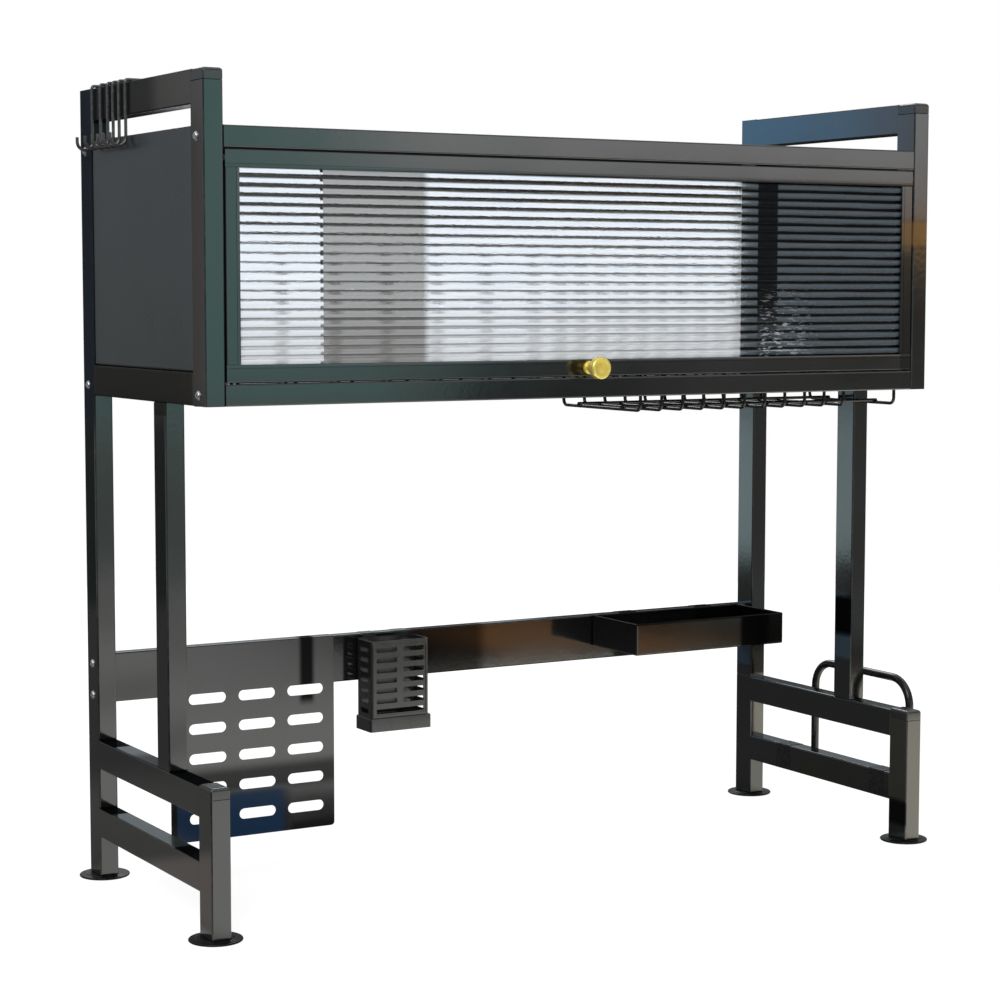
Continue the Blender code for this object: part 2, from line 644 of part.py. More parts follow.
def knob_and_screw(rail):
    """The turned knob stands off the door; its screw comes from a counterbore at the back."""
    bore = SCREW_RADIUS + SCREW_PLAY
    head_low = KNOB_LENGTH - KNOB_HEAD_THICKNESS
    profile = [(0, KNOB_LENGTH), (KNOB_RADIUS * KNOB_CROWN_SHARE, KNOB_LENGTH)]
    profile += arc((KNOB_RADIUS - KNOB_EDGE, KNOB_LENGTH - KNOB_EDGE), KNOB_EDGE, 75, 0, 3)
    profile += arc((KNOB_RADIUS - KNOB_EDGE, head_low + KNOB_EDGE), KNOB_EDGE, 0, -75, 2)
    profile += [(KNOB_NECK_RADIUS, head_low - KNOB_EDGE)]
    profile += [(KNOB_NECK_RADIUS, KNOB_FOOT_THICKNESS + KNOB_EDGE)]
    profile += [(KNOB_FOOT_RADIUS, KNOB_FOOT_THICKNESS), (KNOB_FOOT_RADIUS, 0), (0, 0)]
    place = Vector((KNOB_X, FRONT - FIT, KNOB_Z))
    knob = turned("door_knob", profile, place, BRASS)
    knob.rotation_euler.x = math.radians(90)
    knob_hole = rod("knob_bore", place + Vector((0, OVERRUN, 0)), KNOB_BORE_DEPTH + OVERRUN, bore)
    cut(knob, knob_hole)
    back = (KNOB_X, DOOR_BACK + OVERRUN, KNOB_Z)
    cut(rail, rod("rail_bore", back, DOOR_THICKNESS + 2 * OVERRUN, bore))
    sink_depth = SCREW_HEAD_HEIGHT + FIT
    cut(rail, rod("rail_counterbore", back, sink_depth + OVERRUN, SCREW_HEAD_RADIUS + FIT))
    shank = DOOR_THICKNESS - FIT + KNOB_BORE_DEPTH - FIT
    profile = [(0, shank), (SCREW_RADIUS, shank), (SCREW_RADIUS, SCREW_HEAD_HEIGHT)]
    profile += [(SCREW_HEAD_RADIUS, SCREW_HEAD_HEIGHT), (SCREW_HEAD_RADIUS, 0), (0, 0)]
    screw = turned("knob_screw", profile, (KNOB_X, DOOR_BACK - FIT, KNOB_Z), ZINC)
    screw.rotation_euler.x = math.radians(90)
    return [knob, screw]


def rod(name, back, length, radius):
    """A round cutter along Y that starts at its back end and runs forwards."""
    tool = turned(name, [(0, length), (radius, length), (radius, 0), (0, 0)], back, None, collection=CUTTERS)
    tool.rotation_euler.x = math.radians(90)
    return tool


def pivot(side, sign, top_rail, post):
    """A nylon pivot: a collar in the gap, a pin in the door and a stub in the post."""
    collar = DOOR_GAP - 2 * FIT
    stub = FIT + PIVOT_IN_POST
    profile = [(0, stub + collar + FIT + PIVOT_IN_DOOR), (PIVOT_RADIUS, stub + collar + FIT + PIVOT_IN_DOOR)]
    profile += [(PIVOT_RADIUS, stub + collar), (PIVOT_COLLAR_RADIUS, stub + collar)]
    profile += [(PIVOT_COLLAR_RADIUS, stub), (PIVOT_RADIUS, stub), (PIVOT_RADIUS, 0), (0, 0)]
    start = (sign * (INNER - FIT + stub), PIVOT_Y, PIVOT_Z)
    pin = turned(side + "_door_pivot", profile, start, NYLON, steps=PIN_STEPS)
    pin.rotation_euler.y = math.radians(-90 * sign)
    bore = PIVOT_RADIUS + PIVOT_PLAY
    for target, inner, outer in ((top_rail, DOOR_HALF - PIVOT_IN_DOOR - OVERRUN, DOOR_HALF + OVERRUN / 2),
                                 (post, INNER - OVERRUN / 2, INNER + OVERRUN)):
        profile = [(0, outer - inner), (bore, outer - inner), (bore, 0), (0, 0)]
        tool = turned(f"{target.name}_{side}_pivot_hole", profile, (sign * inner, PIVOT_Y, PIVOT_Z),
                      None, steps=PIN_STEPS, collection=CUTTERS)
        tool.rotation_euler.y = math.radians(90 * sign)
        cut(target, tool)


def door(posts):
    frame = door_frame()
    bottom, top = frame[0], frame[1]
    pieces = frame + [reeded_panel()] + knob_and_screw(bottom)
    for side, sign in SIDES:
        pivot(side, sign, top, posts[side])
    carry("door_hinge", (0, PIVOT_Y, PIVOT_Z), *pieces)
    catch_x = (BOWL_LAST_X + PLATE_FIRST_X) / 2
    box("door_catch", (catch_x - CATCH_WIDTH / 2, DOOR_BACK + FIT, LEDGE_TOP + FIT),
        (catch_x + CATCH_WIDTH / 2, FRONT + RAIL_DEPTH, LEDGE_TOP + FIT + CATCH_HEIGHT),
        PLASTIC, rounded="XYZ", radius=CATCH_EDGE, steps=1)


# Wire racks: bent hoops welded across rail wires and floor wires

def hoop(name, x, bottom):
    """One divider: hooks on the front ledge, dips to the floor, rises to a narrow loop, runs back."""
    rear_end = REAR_WIRE_Y + RAIL_WIRE_RADIUS
    corners = [(x, FRONT_WIRE_Y, HANG_WIRE_Z), (x, HOOP_FRONT_Y, HANG_WIRE_Z), (x, HOOP_FRONT_Y, bottom),
               (x, DIVIDER_Y, bottom), (x, DIVIDER_Y, DIVIDER_TOP), (x, DIVIDER_Y + DIVIDER_GAP, DIVIDER_TOP),
               (x, DIVIDER_Y + DIVIDER_GAP, HANG_WIRE_Z), (x, rear_end, HANG_WIRE_Z)]
    return wire_mesh(name, hoop_path(corners), HOOP_WIRE_RADIUS, WIRE_ROUND_STEPS)


def hoop_path(corners):
    """Tight bend at the front hook, wide bends elsewhere."""
    hook = rounded_path(corners[:3], HOOP_WIRE_RADIUS * 2, 1)
    rest = rounded_path(corners[1:], RACK_BEND, BEND_STEPS)
    return hook[:-1] + rest[1:]


def rack(name, places, bottom):
    hoops = [hoop(name + "_hoop", x, bottom) for x in places]
    low_x = places[0] - HOOP_WIRE_RADIUS - WIRE_OVERHANG
    high_x = places[-1] + HOOP_WIRE_RADIUS + WIRE_OVERHANG
    runs = [(FRONT_WIRE_Y, RAIL_WIRE_Z), (REAR_WIRE_Y, RAIL_WIRE_Z)]
    floor_z = bottom + 2 * HOOP_WIRE_RADIUS - WELD
    for share in FLOOR_WIRE_SHARES:
        runs.append((HOOP_FRONT_Y + (DIVIDER_Y - HOOP_FRONT_Y) * share, floor_z))
    rails = []
    for y, z in runs:
        radius = RAIL_WIRE_RADIUS if z == RAIL_WIRE_Z else HOOP_WIRE_RADIUS
        ends = [(low_x, y, z), (high_x, y, z)]
        rails.append(wire_mesh(name + "_wire", ends, radius, WIRE_ROUND_STEPS))
    body = joined(name, hoops, WIRE, PARTS)
    weld(body, joined(name + "_runs", rails, None, CUTTERS))
    carry(name + "_lift", ((low_x + high_x) / 2, 0, bottom), body)


def racks():
    """Each rack has as many hoops as its half of the width holds; the plate rack ends with one more."""
    steps = int((BOWL_LAST_X + INNER - BOWL_END_ROOM) / BOWL_PITCH)
    bowls = [BOWL_LAST_X - BOWL_PITCH * i for i in reversed(range(steps + 1))]
    rack("bowl_rack", bowls, CABINET_BOTTOM + BOWL_RACK_RISE)
    last_x = INNER - PLATE_LAST_PLAY - HOOP_WIRE_RADIUS - WIRE_OVERHANG
    steps = int((last_x - PLATE_END_ROOM - PLATE_FIRST_X) / PLATE_PITCH)
    plates = [PLATE_FIRST_X + PLATE_PITCH * i for i in range(steps + 1)]
    rack("plate_rack", plates + [last_x], CABINET_BOTTOM - PLATE_RACK_DROP)


# Accessories on the crossbar

def bar_hook_path(front_y, low_z, lip):
    """Up the front of the crossbar, over its top and down its back, at the sheet's near face."""
    return [(0, front_y, low_z), (0, front_y, BAR_TOP + FIT), (0, BAR_BACK + FIT, BAR_TOP + FIT),
            (0, BAR_BACK + FIT, BAR_TOP - lip)]


def shifted(path, x):
    return [(point[0] + x, point[1], point[2]) for point in path]


def slot_outline(length, height):
    """A round-ended slot, as pairs about its middle."""
    radius = height / 2
    reach = length / 2 - radius
    return (arc((reach, 0), radius, -90, 90, SLOT_END_STEPS)
            + arc((-reach, 0), radius, 90, 270, SLOT_END_STEPS))


def slot_cutter(name, places, outline, y, depth):
    """Many slots in one cutter, each an outline in X and Z pushed through along Y."""
    shape = bmesh.new()
    for x, z in places:
        loop = [shape.verts.new((x + u, y - depth / 2, z + v)) for u, v in outline]
        section = shape.faces.new(loop)
        moved = bmesh.ops.extrude_face_region(shape, geom=[section])["geom"]
        ring = [item for item in moved if isinstance(item, bmesh.types.BMVert)]
        bmesh.ops.translate(shape, verts=ring, vec=(0, depth, 0))
    bmesh.ops.recalc_face_normals(shape, faces=shape.faces)
    mesh = bpy.data.meshes.new(name)
    shape.to_mesh(mesh)
    shape.free()
    return add_object(name, mesh, None, CUTTERS)


def perforated_board():
    front = BAR_FRONT - FIT
    path = rounded_path(bar_hook_path(front, BOARD_BOTTOM, BOARD_LIP), FOLD_RADIUS, FOLD_STEPS)
    board = folded_sheet("perforated_board", shifted(path, BOARD_CENTRE_X), "X", BOARD_WIDTH,
                         BOARD_SHEET, SHEET_STEEL, corner=BOARD_CORNER)
    places = []
    for column in range(BOARD_SLOT_COLUMNS):
        step = (column - (BOARD_SLOT_COLUMNS - 1) / 2) * BOARD_COLUMN_PITCH
        x = BOARD_CENTRE_X + BOARD_SLOT_SHIFT + step
        for row in range(BOARD_SLOT_ROWS):
            places.append((x, BOARD_BOTTOM + BOARD_SLOT_FIRST + row * BOARD_ROW_PITCH))
    outline = slot_outline(BOARD_SLOT_LENGTH, BOARD_SLOT_HEIGHT)
    cut(board, slot_cutter("board_slots", places, outline, front, 2 * OVERRUN))
    carry("board_slide", (BOARD_CENTRE_X, front, BAR_TOP), board)


def tab(name, x, front, width, root):
    """A folded hook strap that hangs a box on the crossbar."""
    path = rounded_path(bar_hook_path(front, BAR_TOP - root, TAB_LIP), FOLD_RADIUS, FOLD_STEPS)
    return folded_sheet(name, shifted(path, x), "X", width, TAB_THICKNESS, None, CUTTERS)


def cutlery_basket():
    half = BASKET_WIDTH / 2
    back = BAR_FRONT - FIT - TAB_THICKNESS + WELD
    front = back - BASKET_DEPTH
    x = BASKET_CENTRE_X
    basket = box("cutlery_basket", (x - half, front, BASKET_BOTTOM), (x + half, back, BASKET_TOP), PLASTIC)
    flare = BASKET_PLINTH_FLARE
    weld(basket, box("basket_plinth", (x - half - flare, front - flare, BASKET_BOTTOM),
                     (x + half + flare, back, BASKET_BOTTOM + BASKET_PLINTH_HEIGHT), collection=CUTTERS,
                     rounded="Z", radius=flare / 2, steps=1))
    wall = BASKET_WALL
    cut(basket, box("basket_inside", (x - half + wall, front + wall, BASKET_BOTTOM + wall),
                    (x + half - wall, back - wall, BASKET_TOP + OVERRUN), collection=CUTTERS))
    first = BASKET_TOP - BASKET_SLOT_DROP
    levels = [first - BASKET_SLOT_PITCH * row for row in range(BASKET_SLOT_ROWS)]
    wide_level = first - BASKET_SLOT_PITCH * BASKET_SLOT_ROWS
    offset = (BASKET_SLOT_WIDTH + BASKET_SLOT_MIDDLE) / 2
    tall = BASKET_SLOT_HEIGHT / 2
    for name, level, low, high in basket_slots(levels, wide_level, offset):
        cut(basket, box(f"basket_{name}", (x + low, front - OVERRUN, level - tall),
                        (x + high, front + wall + OVERRUN, level + tall), collection=CUTTERS))
    side = BASKET_SIDE_SLOT_WIDTH / 2
    middle = (front + back) / 2
    for row, level in enumerate(levels + [wide_level]):
        cut(basket, box(f"basket_side_slot_{row}", (x - half - OVERRUN, middle - side, level - tall),
                        (x + half + OVERRUN, middle + side, level + tall), collection=CUTTERS))
    for column in range(BASKET_DRAINS):
        drain_x = x + BASKET_WIDTH * ((column + 0.5) / BASKET_DRAINS - 0.5)
        drain_low = (drain_x - BASKET_DRAIN_SIZE / 2, middle - side, BASKET_BOTTOM - OVERRUN)
        drain_high = (drain_x + BASKET_DRAIN_SIZE / 2, middle + side, BASKET_BOTTOM + wall + OVERRUN)
        cut(basket, box(f"basket_drain_{column}", drain_low, drain_high, collection=CUTTERS))
    for place in (-1, 1):
        weld(basket, tab(f"basket_tab_{place}", x + place * BASKET_WIDTH * BASKET_TAB_SHARE,
                         BAR_FRONT - FIT, BASKET_TAB_WIDTH, TAB_ROOT))
    carry("basket_slide", (x, back, BAR_TOP), basket)


def basket_slots(levels, wide_level, offset):
    """The front slots: two short ones in each row and one wide one below them."""
    half = BASKET_SLOT_WIDTH / 2
    slots = [("wide_slot", wide_level, -offset - half, offset + half)]
    for row, level in enumerate(levels):
        slots.append((f"left_slot_{row}", level, -offset - half, -offset + half))
        slots.append((f"right_slot_{row}", level, offset - half, offset + half))
    return slots


def tray():
    half = TRAY_WIDTH / 2
    back = BAR_FRONT - FIT - TAB_THICKNESS + WELD
    front = back - TRAY_DEPTH
    x = TRAY_CENTRE_X
    body = box("tray", (x - half, front, BAR_TOP - TRAY_HEIGHT), (x + half, back, BAR_TOP), SHEET_STEEL,
               rounded="Z", radius=TRAY_CORNER, steps=2)
    open_side(body, Vector((0, 0, 1)))
    for place in (-1, 1):
        weld(body, tab(f"tray_tab_{place}", x + place * TRAY_WIDTH * TRAY_TAB_SHARE,
                       BAR_FRONT - FIT, TAB_WIDTH, TAB_ROOT))
    carry("tray_slide", (x, back, BAR_TOP), body)


# Board holder: a bent rod on two straps that hang on the right lower base rail

def board_holder():
    inner = INNER - FIT
    outer = HALF_WIDTH + FIT
    over = LOWER_RAIL_TOP + FIT
    low = LOWER_RAIL_TOP - HOLDER_STRAP_DROP
    reach = HALF_WIDTH + HOLDER_REACH
    arm_z = low + HOLDER_ARM_RISE
    start_x = outer + HOLDER_STRAP - WELD
    corners = [(start_x, HOLDER_REAR_Y, arm_z), (reach, HOLDER_REAR_Y, arm_z),
               (reach, HOLDER_REAR_Y, HOLDER_TOP), (reach, HOLDER_FRONT_Y, HOLDER_TOP),
               (reach, HOLDER_FRONT_Y, arm_z), (start_x, HOLDER_FRONT_Y, arm_z)]
    foot_in = rounded_path(corners[:3], HOLDER_FOOT_RADIUS, BEND_STEPS)
    arch = rounded_path(corners[1:5], HOLDER_ARCH_RADIUS, 2 * BEND_STEPS)
    foot_out = rounded_path(corners[3:], HOLDER_FOOT_RADIUS, BEND_STEPS)
    path = foot_in[:-1] + arch[1:-1] + foot_out[1:]
    arch_mesh = wire_mesh("board_holder", path, HOLDER_ROD_RADIUS, ROD_ROUND_STEPS)
    holder = add_object("board_holder", arch_mesh, WIRE)
    for name, y in (("rear", HOLDER_REAR_Y), ("front", HOLDER_FRONT_Y)):
        line = [(inner, y, low), (inner, y, over), (outer, y, over), (outer, y, low)]
        path = list(reversed(rounded_path(line, FOLD_RADIUS, FOLD_STEPS)))
        weld(holder, folded_sheet(f"holder_{name}_strap", path, "Y", HOLDER_STRAP_WIDTH,
                                  HOLDER_STRAP, None, CUTTERS))
    carry("holder_slide", (POST_MIDDLE, (HOLDER_REAR_Y + HOLDER_FRONT_Y) / 2, LOWER_RAIL_TOP), holder)


# Six utensil hooks on the left handle bar

def utensil_hook(number, y):
    r = HOOK_WIRE_RADIUS
    inner = -INNER + FIT + r
    outer = -HALF_WIDTH - FIT - r
    top = OVERALL_HEIGHT + FIT + r
    turn_z = OVERALL_HEIGHT - HOOK_SHANK_DROP
    corners = [(inner, y, OVERALL_HEIGHT - HOOK_INNER_DROP), (inner, y, top), (outer, y, top),
               (outer, y, turn_z)]
    path = rounded_path(corners, HOOK_CORNER, BEND_STEPS)
    centre = (outer - HOOK_CURL_RADIUS, turn_z)
    curl = arc(centre, HOOK_CURL_RADIUS, 0, -180, HOOK_CURL_STEPS)
    path = path[:-1] + [(x, y, z) for x, z in curl]
    path.append((outer - 2 * HOOK_CURL_RADIUS, y, turn_z + HOOK_TIP_RISE))
    name = f"utensil_hook_{number}"
    hook = add_object(name, wire_mesh(name, path, r, WIRE_ROUND_STEPS), WIRE)
    carry(name + "_slide", (-POST_MIDDLE, y, OVERALL_HEIGHT), hook)


def build():
    posts = {}
    for side, sign in SIDES:
        base_frame(side, sign)
        posts[side] = side_frame(side, sign)
    cabinet_rails()
    door(posts)
    racks()
    perforated_board()
    cutlery_basket()
    tray()
    board_holder()
    for number, setback in enumerate(HOOK_SETBACKS, 1):
        utensil_hook(number, REAR - setback)


build()
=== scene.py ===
"""Looks of an over-sink dish drainer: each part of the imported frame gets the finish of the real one."""
import math

import bmesh
import bpy
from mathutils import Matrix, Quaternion, Vector


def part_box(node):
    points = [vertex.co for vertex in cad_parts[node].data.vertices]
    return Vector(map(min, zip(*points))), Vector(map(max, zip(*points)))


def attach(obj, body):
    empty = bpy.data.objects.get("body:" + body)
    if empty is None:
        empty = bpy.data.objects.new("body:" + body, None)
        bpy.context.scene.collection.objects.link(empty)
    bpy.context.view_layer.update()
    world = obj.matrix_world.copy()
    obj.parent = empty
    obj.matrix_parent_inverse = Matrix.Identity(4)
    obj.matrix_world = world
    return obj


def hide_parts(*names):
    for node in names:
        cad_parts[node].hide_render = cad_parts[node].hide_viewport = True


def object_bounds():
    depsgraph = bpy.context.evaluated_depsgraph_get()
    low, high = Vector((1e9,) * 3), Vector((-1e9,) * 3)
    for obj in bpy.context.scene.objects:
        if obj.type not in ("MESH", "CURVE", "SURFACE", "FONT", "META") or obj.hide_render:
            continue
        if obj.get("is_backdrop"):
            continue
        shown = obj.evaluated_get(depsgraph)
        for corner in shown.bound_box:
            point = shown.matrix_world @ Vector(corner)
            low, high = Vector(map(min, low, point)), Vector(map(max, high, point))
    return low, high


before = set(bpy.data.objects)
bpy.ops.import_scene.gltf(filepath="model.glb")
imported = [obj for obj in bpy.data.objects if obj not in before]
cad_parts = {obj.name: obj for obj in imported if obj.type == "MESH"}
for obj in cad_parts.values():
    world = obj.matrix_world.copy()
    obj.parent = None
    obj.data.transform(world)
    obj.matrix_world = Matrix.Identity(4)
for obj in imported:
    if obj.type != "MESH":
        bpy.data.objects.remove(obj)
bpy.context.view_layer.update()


# The studio. A pale floor runs out into a white surround, and a broad lamp lights the rack from the front
# left. The gloss of the paint sees soft panels and dark flags, set as for a photograph of black metal.

class Value:
    """One socket of a material. Sums and products of values add Math nodes."""

    def __init__(self, tree, socket):
        self.tree = tree
        self.socket = socket

    def __add__(self, other):
        return self.tree.math("ADD", self, other)

    def __radd__(self, other):
        return self.tree.math("ADD", other, self)

    def __sub__(self, other):
        return self.tree.math("SUBTRACT", self, other)

    def __rsub__(self, other):
        return self.tree.math("SUBTRACT", other, self)

    def __mul__(self, other):
        return self.tree.math("MULTIPLY", self, other)

    def __rmul__(self, other):
        return self.tree.math("MULTIPLY", other, self)


class Tree:
    """A node tree. One method adds any node: its settings first, then its sockets."""

    def __init__(self, tree):
        self.tree = tree

    def node(self, kind, settings=None, sockets=None, output=0):
        made = self.tree.nodes.new(kind)
        for name, setting in (settings or {}).items():
            setattr(made, name, setting)
        self.feed(made, sockets or {})
        return Value(self, made.outputs[output])

    def feed(self, node, sockets):
        for name, given in sockets.items():
            if isinstance(given, Value):
                self.tree.links.new(given.socket, node.inputs[name])
            elif isinstance(given, tuple) and node.inputs[name].type == "RGBA":
                node.inputs[name].default_value = (*given, 1)
            else:
                node.inputs[name].default_value = given

    def mix(self, share, first, second):
        """A colour that goes from the first to the second as the share goes from 0 to 1."""
        return self.node("ShaderNodeMix", {"data_type": "RGBA"}, {0: share, 6: first, 7: second}, output=2)

    def rise(self, value, start, end, low=0.0, high=1.0):
        """A smooth step of a value."""
        return self.node("ShaderNodeMapRange", {"interpolation_type": "SMOOTHSTEP"},
                         {0: value, 1: start, 2: end, 3: low, 4: high})

    def span(self, value, start, end, soft):
        """1 between two values and 0 outside them, with soft edges."""
        return self.rise(value, start - soft, start + soft) * self.rise(value, end + soft, end - soft)

    def math(self, operation, first, second=0.0):
        return self.node("ShaderNodeMath", {"operation": operation}, {0: first, 1: second})

    def vector(self, operation, first, second=(0, 0, 0), output=0):
        return self.node("ShaderNodeVectorMath", {"operation": operation}, {0: first, 1: second}, output)

    def parts(self, place, axes="XYZ"):
        return {axis: self.node("ShaderNodeSeparateXYZ", None, {0: place}, output=axis) for axis in axes}

    def rays(self, *names):
        return {name: self.node("ShaderNodeLightPath", output=name) for name in names}

    def cards(self, across, up, ground, table):
        """Soft cards over a ground colour. Each is left, right, low, high, softness and colour."""
        seen = ground
        for left, right, low, high, soft, colour in table:
            inside = self.span(across, left, right, soft) * self.span(up, low, high, soft)
            seen = self.mix(inside, seen, colour)
        return seen


# Places of the surround's cards are in degrees: right of straight ahead of the rack, and above the horizon.
SURROUND_LIGHT = (0.60, 0.60, 0.60)
SURROUND_GLOSS = (0.25, 0.245, 0.235)
CARDS = (
    (-400, 400, 38, 120, 12, (0.95, 0.97, 1.0)),
    (110, 175, 1, 22, 6, (0.36, 0.40, 0.43)),
    (100, 178, -40, -0.2, 0.4, (0.01, 0.01, 0.01)),
    (130, 149, 6, 10.1, 0.3, (0.03, 0.03, 0.03)),
    (-185, -148, -20, 12, 2, (0.157, 0.150, 0.136)),
    (-157.0, -150, -20, 12, 0.1, (0.30, 0.28, 0.27)),
    (-158.0, -152, 4.0, 9, 0.5, (0.36, 0.36, 0.36)),
    (-172, -150, -20, -2.9, 0.3, (0.03, 0.04, 0.035)),
    (-148, -128, -20, 12, 1.5, (0.60, 0.78, 0.76)),
    (-148, -128, -6.9, 12, 0.5, (1.05, 1.36, 1.40)),
    (-150, -128, -2.7, 12, 0.3, (0.32, 0.46, 0.58)),
    (-150, -141.1, 2.4, 9, 0.2, (0.52, 1.05, 1.65)),
    (-141.1, -136, 2.4, 9, 0.2, (0.62, 0.65, 0.69)),
    (5, 46, -9, 12, 2, (0.60, 0.72, 0.68)),
    (5, 46, -2.9, 12, 0.4, (0.56, 1.04, 0.98)),
    (28.9, 46, -9, 12, 0.6, (0.09, 0.09, 0.09)),
    (34.0, 46, -9, 12, 1.5, (0.25, 0.25, 0.24)),
    (5, 24.0, -9, -3.6, 0.8, (0.43, 0.50, 0.46)),
    (26.6, 43, 1.6, 12, 0.8, (1.72, 1.72, 1.73)),
    (37.6, 46, -2.0, 1.0, 0.2, (0.12, 0.12, 0.11)),
    (38.1, 43, 1.0, 1.75, 0.15, (2.2, 1.15, 0.30)),
)
# Clear parts show a bright window, and what is mirrored through them is shaded.
WINDOW = (0.92, 0.97, 1.04)
INDOOR_SHADE = 0.55

sky = bpy.data.worlds.new("studio_surround")
sky.use_nodes = True
sky.node_tree.nodes.clear()
bpy.context.scene.world = sky
surround = Tree(sky.node_tree)
facing = surround.node("ShaderNodeTexCoord", output="Generated")
part = surround.parts(facing)
bearing = surround.math("ARCTAN2", part["X"], 0 - part["Y"]) * (180 / math.pi)
lift = surround.math("ARCSINE", part["Z"]) * (180 / math.pi)
gloss = surround.cards(bearing, lift, SURROUND_GLOSS, CARDS)
ray = surround.rays("Is Camera Ray", "Is Transmission Ray", "Glossy Depth", "Diffuse Depth",
                    "Transmission Depth")
direct = surround.math("LESS_THAN", ray["Glossy Depth"] + ray["Diffuse Depth"], 0.5)
in_gloss = surround.math("GREATER_THAN", ray["Glossy Depth"], 0.5)
indoors = surround.rise(ray["Transmission Depth"], 0.0, 1.0) * INDOOR_SHADE
gloss = surround.mix(indoors, gloss, (0.0, 0.0, 0.0))
seen = surround.mix(in_gloss, SURROUND_LIGHT, gloss)
seen = surround.mix(ray["Is Transmission Ray"] * direct, seen, WINDOW)
seen = surround.mix(ray["Is Camera Ray"], seen, (1.0, 1.0, 1.0))
back = surround.node("ShaderNodeBackground", None, {"Color": seen})
surround.feed(surround.tree.nodes.new("ShaderNodeOutputWorld"), {"Surface": back})


class Paint(Tree):
    """A finish: a Principled material and the name of the slot that it shows, which nothing here reads."""

    def __init__(self, name, slot, fixed):
        self.material = bpy.data.materials.new(name)
        self.material.use_nodes = True
        super().__init__(self.material.node_tree)
        self.shader = self.tree.nodes["Principled BSDF"]
        self.slot = slot
        self.feed(self.shader, fixed)

    def place(self):
        return self.node("ShaderNodeTexCoord", output="Object")

    def noise(self, place, scale, detail=2.0, roughness=0.5):
        return self.node("ShaderNodeTexNoise", None,
                         {"Vector": place, "Scale": scale, "Detail": detail, "Roughness": roughness})

    def bump(self, height, strength, distance):
        return self.node("ShaderNodeBump", None,
                         {"Height": height, "Strength": strength, "Distance": distance})

    def vary(self, sockets):
        self.feed(self.shader, sockets)

    def dull(self, colour, roughness):
        """A second shader of the finish, with no gloss."""
        return self.node("ShaderNodeBsdfPrincipled", None,
                         {"Base Color": colour, "Roughness": roughness, "Specular IOR Level": 0.0})

    def cover(self, share, top):
        """Lays another shader over the finish."""
        base = Value(self, self.shader.outputs[0])
        both = self.node("ShaderNodeMixShader", None, {0: share, 1: base, 2: top})
        self.feed(self.tree.nodes["Material Output"], {"Surface": both})


FLOOR_RADIUS = 2.5
FLOOR_SIDES = 96
FLOOR_GLOW = 0.86
# Places of the floor's cards are in metres, X across the rack and Y front to back.
FLOOR_GLOSS = (0.05, 0.055, 0.055)
FLOOR_CARDS = (
    (-3.0, 0.40, 0.16, 3.0, 0.10, (0.10, 0.10, 0.10)),
    (0.08, 0.30, 0.08, 0.30, 0.04, (0.09, 0.09, 0.08)),
    (-0.9, -0.435, -0.30, 0.60, 0.12, (0.18, 0.18, 0.17)),
    (-0.9, -0.435, -0.30, 0.175, 0.03, (0.38, 0.35, 0.32)),
    (-0.43, 0.95, -3.0, -0.9, 0.4, (1.38, 1.38, 1.34)),
    (-0.43, 0.60, -3.0, -1.50, 0.25, (0.86, 0.86, 0.83)),
    (0.48, 1.32, -1.9, -0.95, 0.05, (0.02, 0.02, 0.02)),
    (1.32, 3.0, -3.0, -0.95, 0.10, (0.30, 0.33, 0.32)),
    (0.71, 1.04, -1.40, -0.98, 0.02, (0.92, 0.44, 0.16)),
    (1.04, 1.22, -1.40, -1.05, 0.04, (0.26, 0.14, 0.05)),
    (-0.43, 2.0, -0.84, -0.16, 0.05, (1.42, 1.43, 1.38)),
    (0.42, 2.0, -0.84, -0.16, 0.03, (2.2, 2.1, 1.75)),
    (-0.43, -0.27, -0.16, 0.13, 0.02, (1.25, 1.25, 1.22)),
    (0.42, 1.0, -0.16, 0.13, 0.03, (1.6, 1.58, 1.40)),
    (-0.26, -0.11, -0.16, 0.05, 0.02, (0.10, 0.10, 0.10)),
)
floor_paint = Paint("studio_floor", None, {"Roughness": 0.85, "Specular IOR Level": 0.0})
spot = floor_paint.place()
part = floor_paint.parts(spot, "XY")
fleck = floor_paint.noise(spot, 3.0, 3.0)
floor_paint.vary({"Base Color": floor_paint.mix(fleck, (0.29, 0.29, 0.29), (0.31, 0.31, 0.31))})
ray = floor_paint.rays("Is Camera Ray", "Is Glossy Ray", "Is Transmission Ray")
floor_paint.vary({"Emission Color": (1.0, 1.0, 1.0),
                  "Emission Strength": (ray["Is Camera Ray"] + ray["Is Transmission Ray"]) * FLOOR_GLOW})
sheen = floor_paint.node("ShaderNodeEmission", None,
                         {"Color": floor_paint.cards(part["X"], part["Y"], FLOOR_GLOSS, FLOOR_CARDS)})
floor_paint.cover(ray["Is Glossy Ray"], sheen)
ground = bmesh.new()
bmesh.ops.create_circle(ground, cap_ends=True, segments=FLOOR_SIDES, radius=FLOOR_RADIUS)
floor_mesh = bpy.data.meshes.new("floor")
ground.to_mesh(floor_mesh)
ground.free()
floor_mesh.materials.append(floor_paint.material)
floor = bpy.data.objects.new("floor", floor_mesh)
bpy.context.scene.collection.objects.link(floor)
floor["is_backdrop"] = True

# Each lamp has a place, a target, the side of its square in metres and its watts.
LAMPS = {"front_left_lamp": ((-2.4, -2.6, 2.6), (0, 0, 0.4), 1.8, 55),
         "back_lamp": ((1.0, 2.6, 2.4), (0, 0, 0.5), 1.6, 30)}
for name, (place, target, size, watts) in LAMPS.items():
    data = bpy.data.lights.new(name, "AREA")
    data.size = size
    data.energy = watts
    light = bpy.data.objects.new(name, data)
    bpy.context.scene.collection.objects.link(light)
    light.location = place
    light.rotation_euler = (Vector(target) - Vector(place)).to_track_quat("-Z", "Y").to_euler()

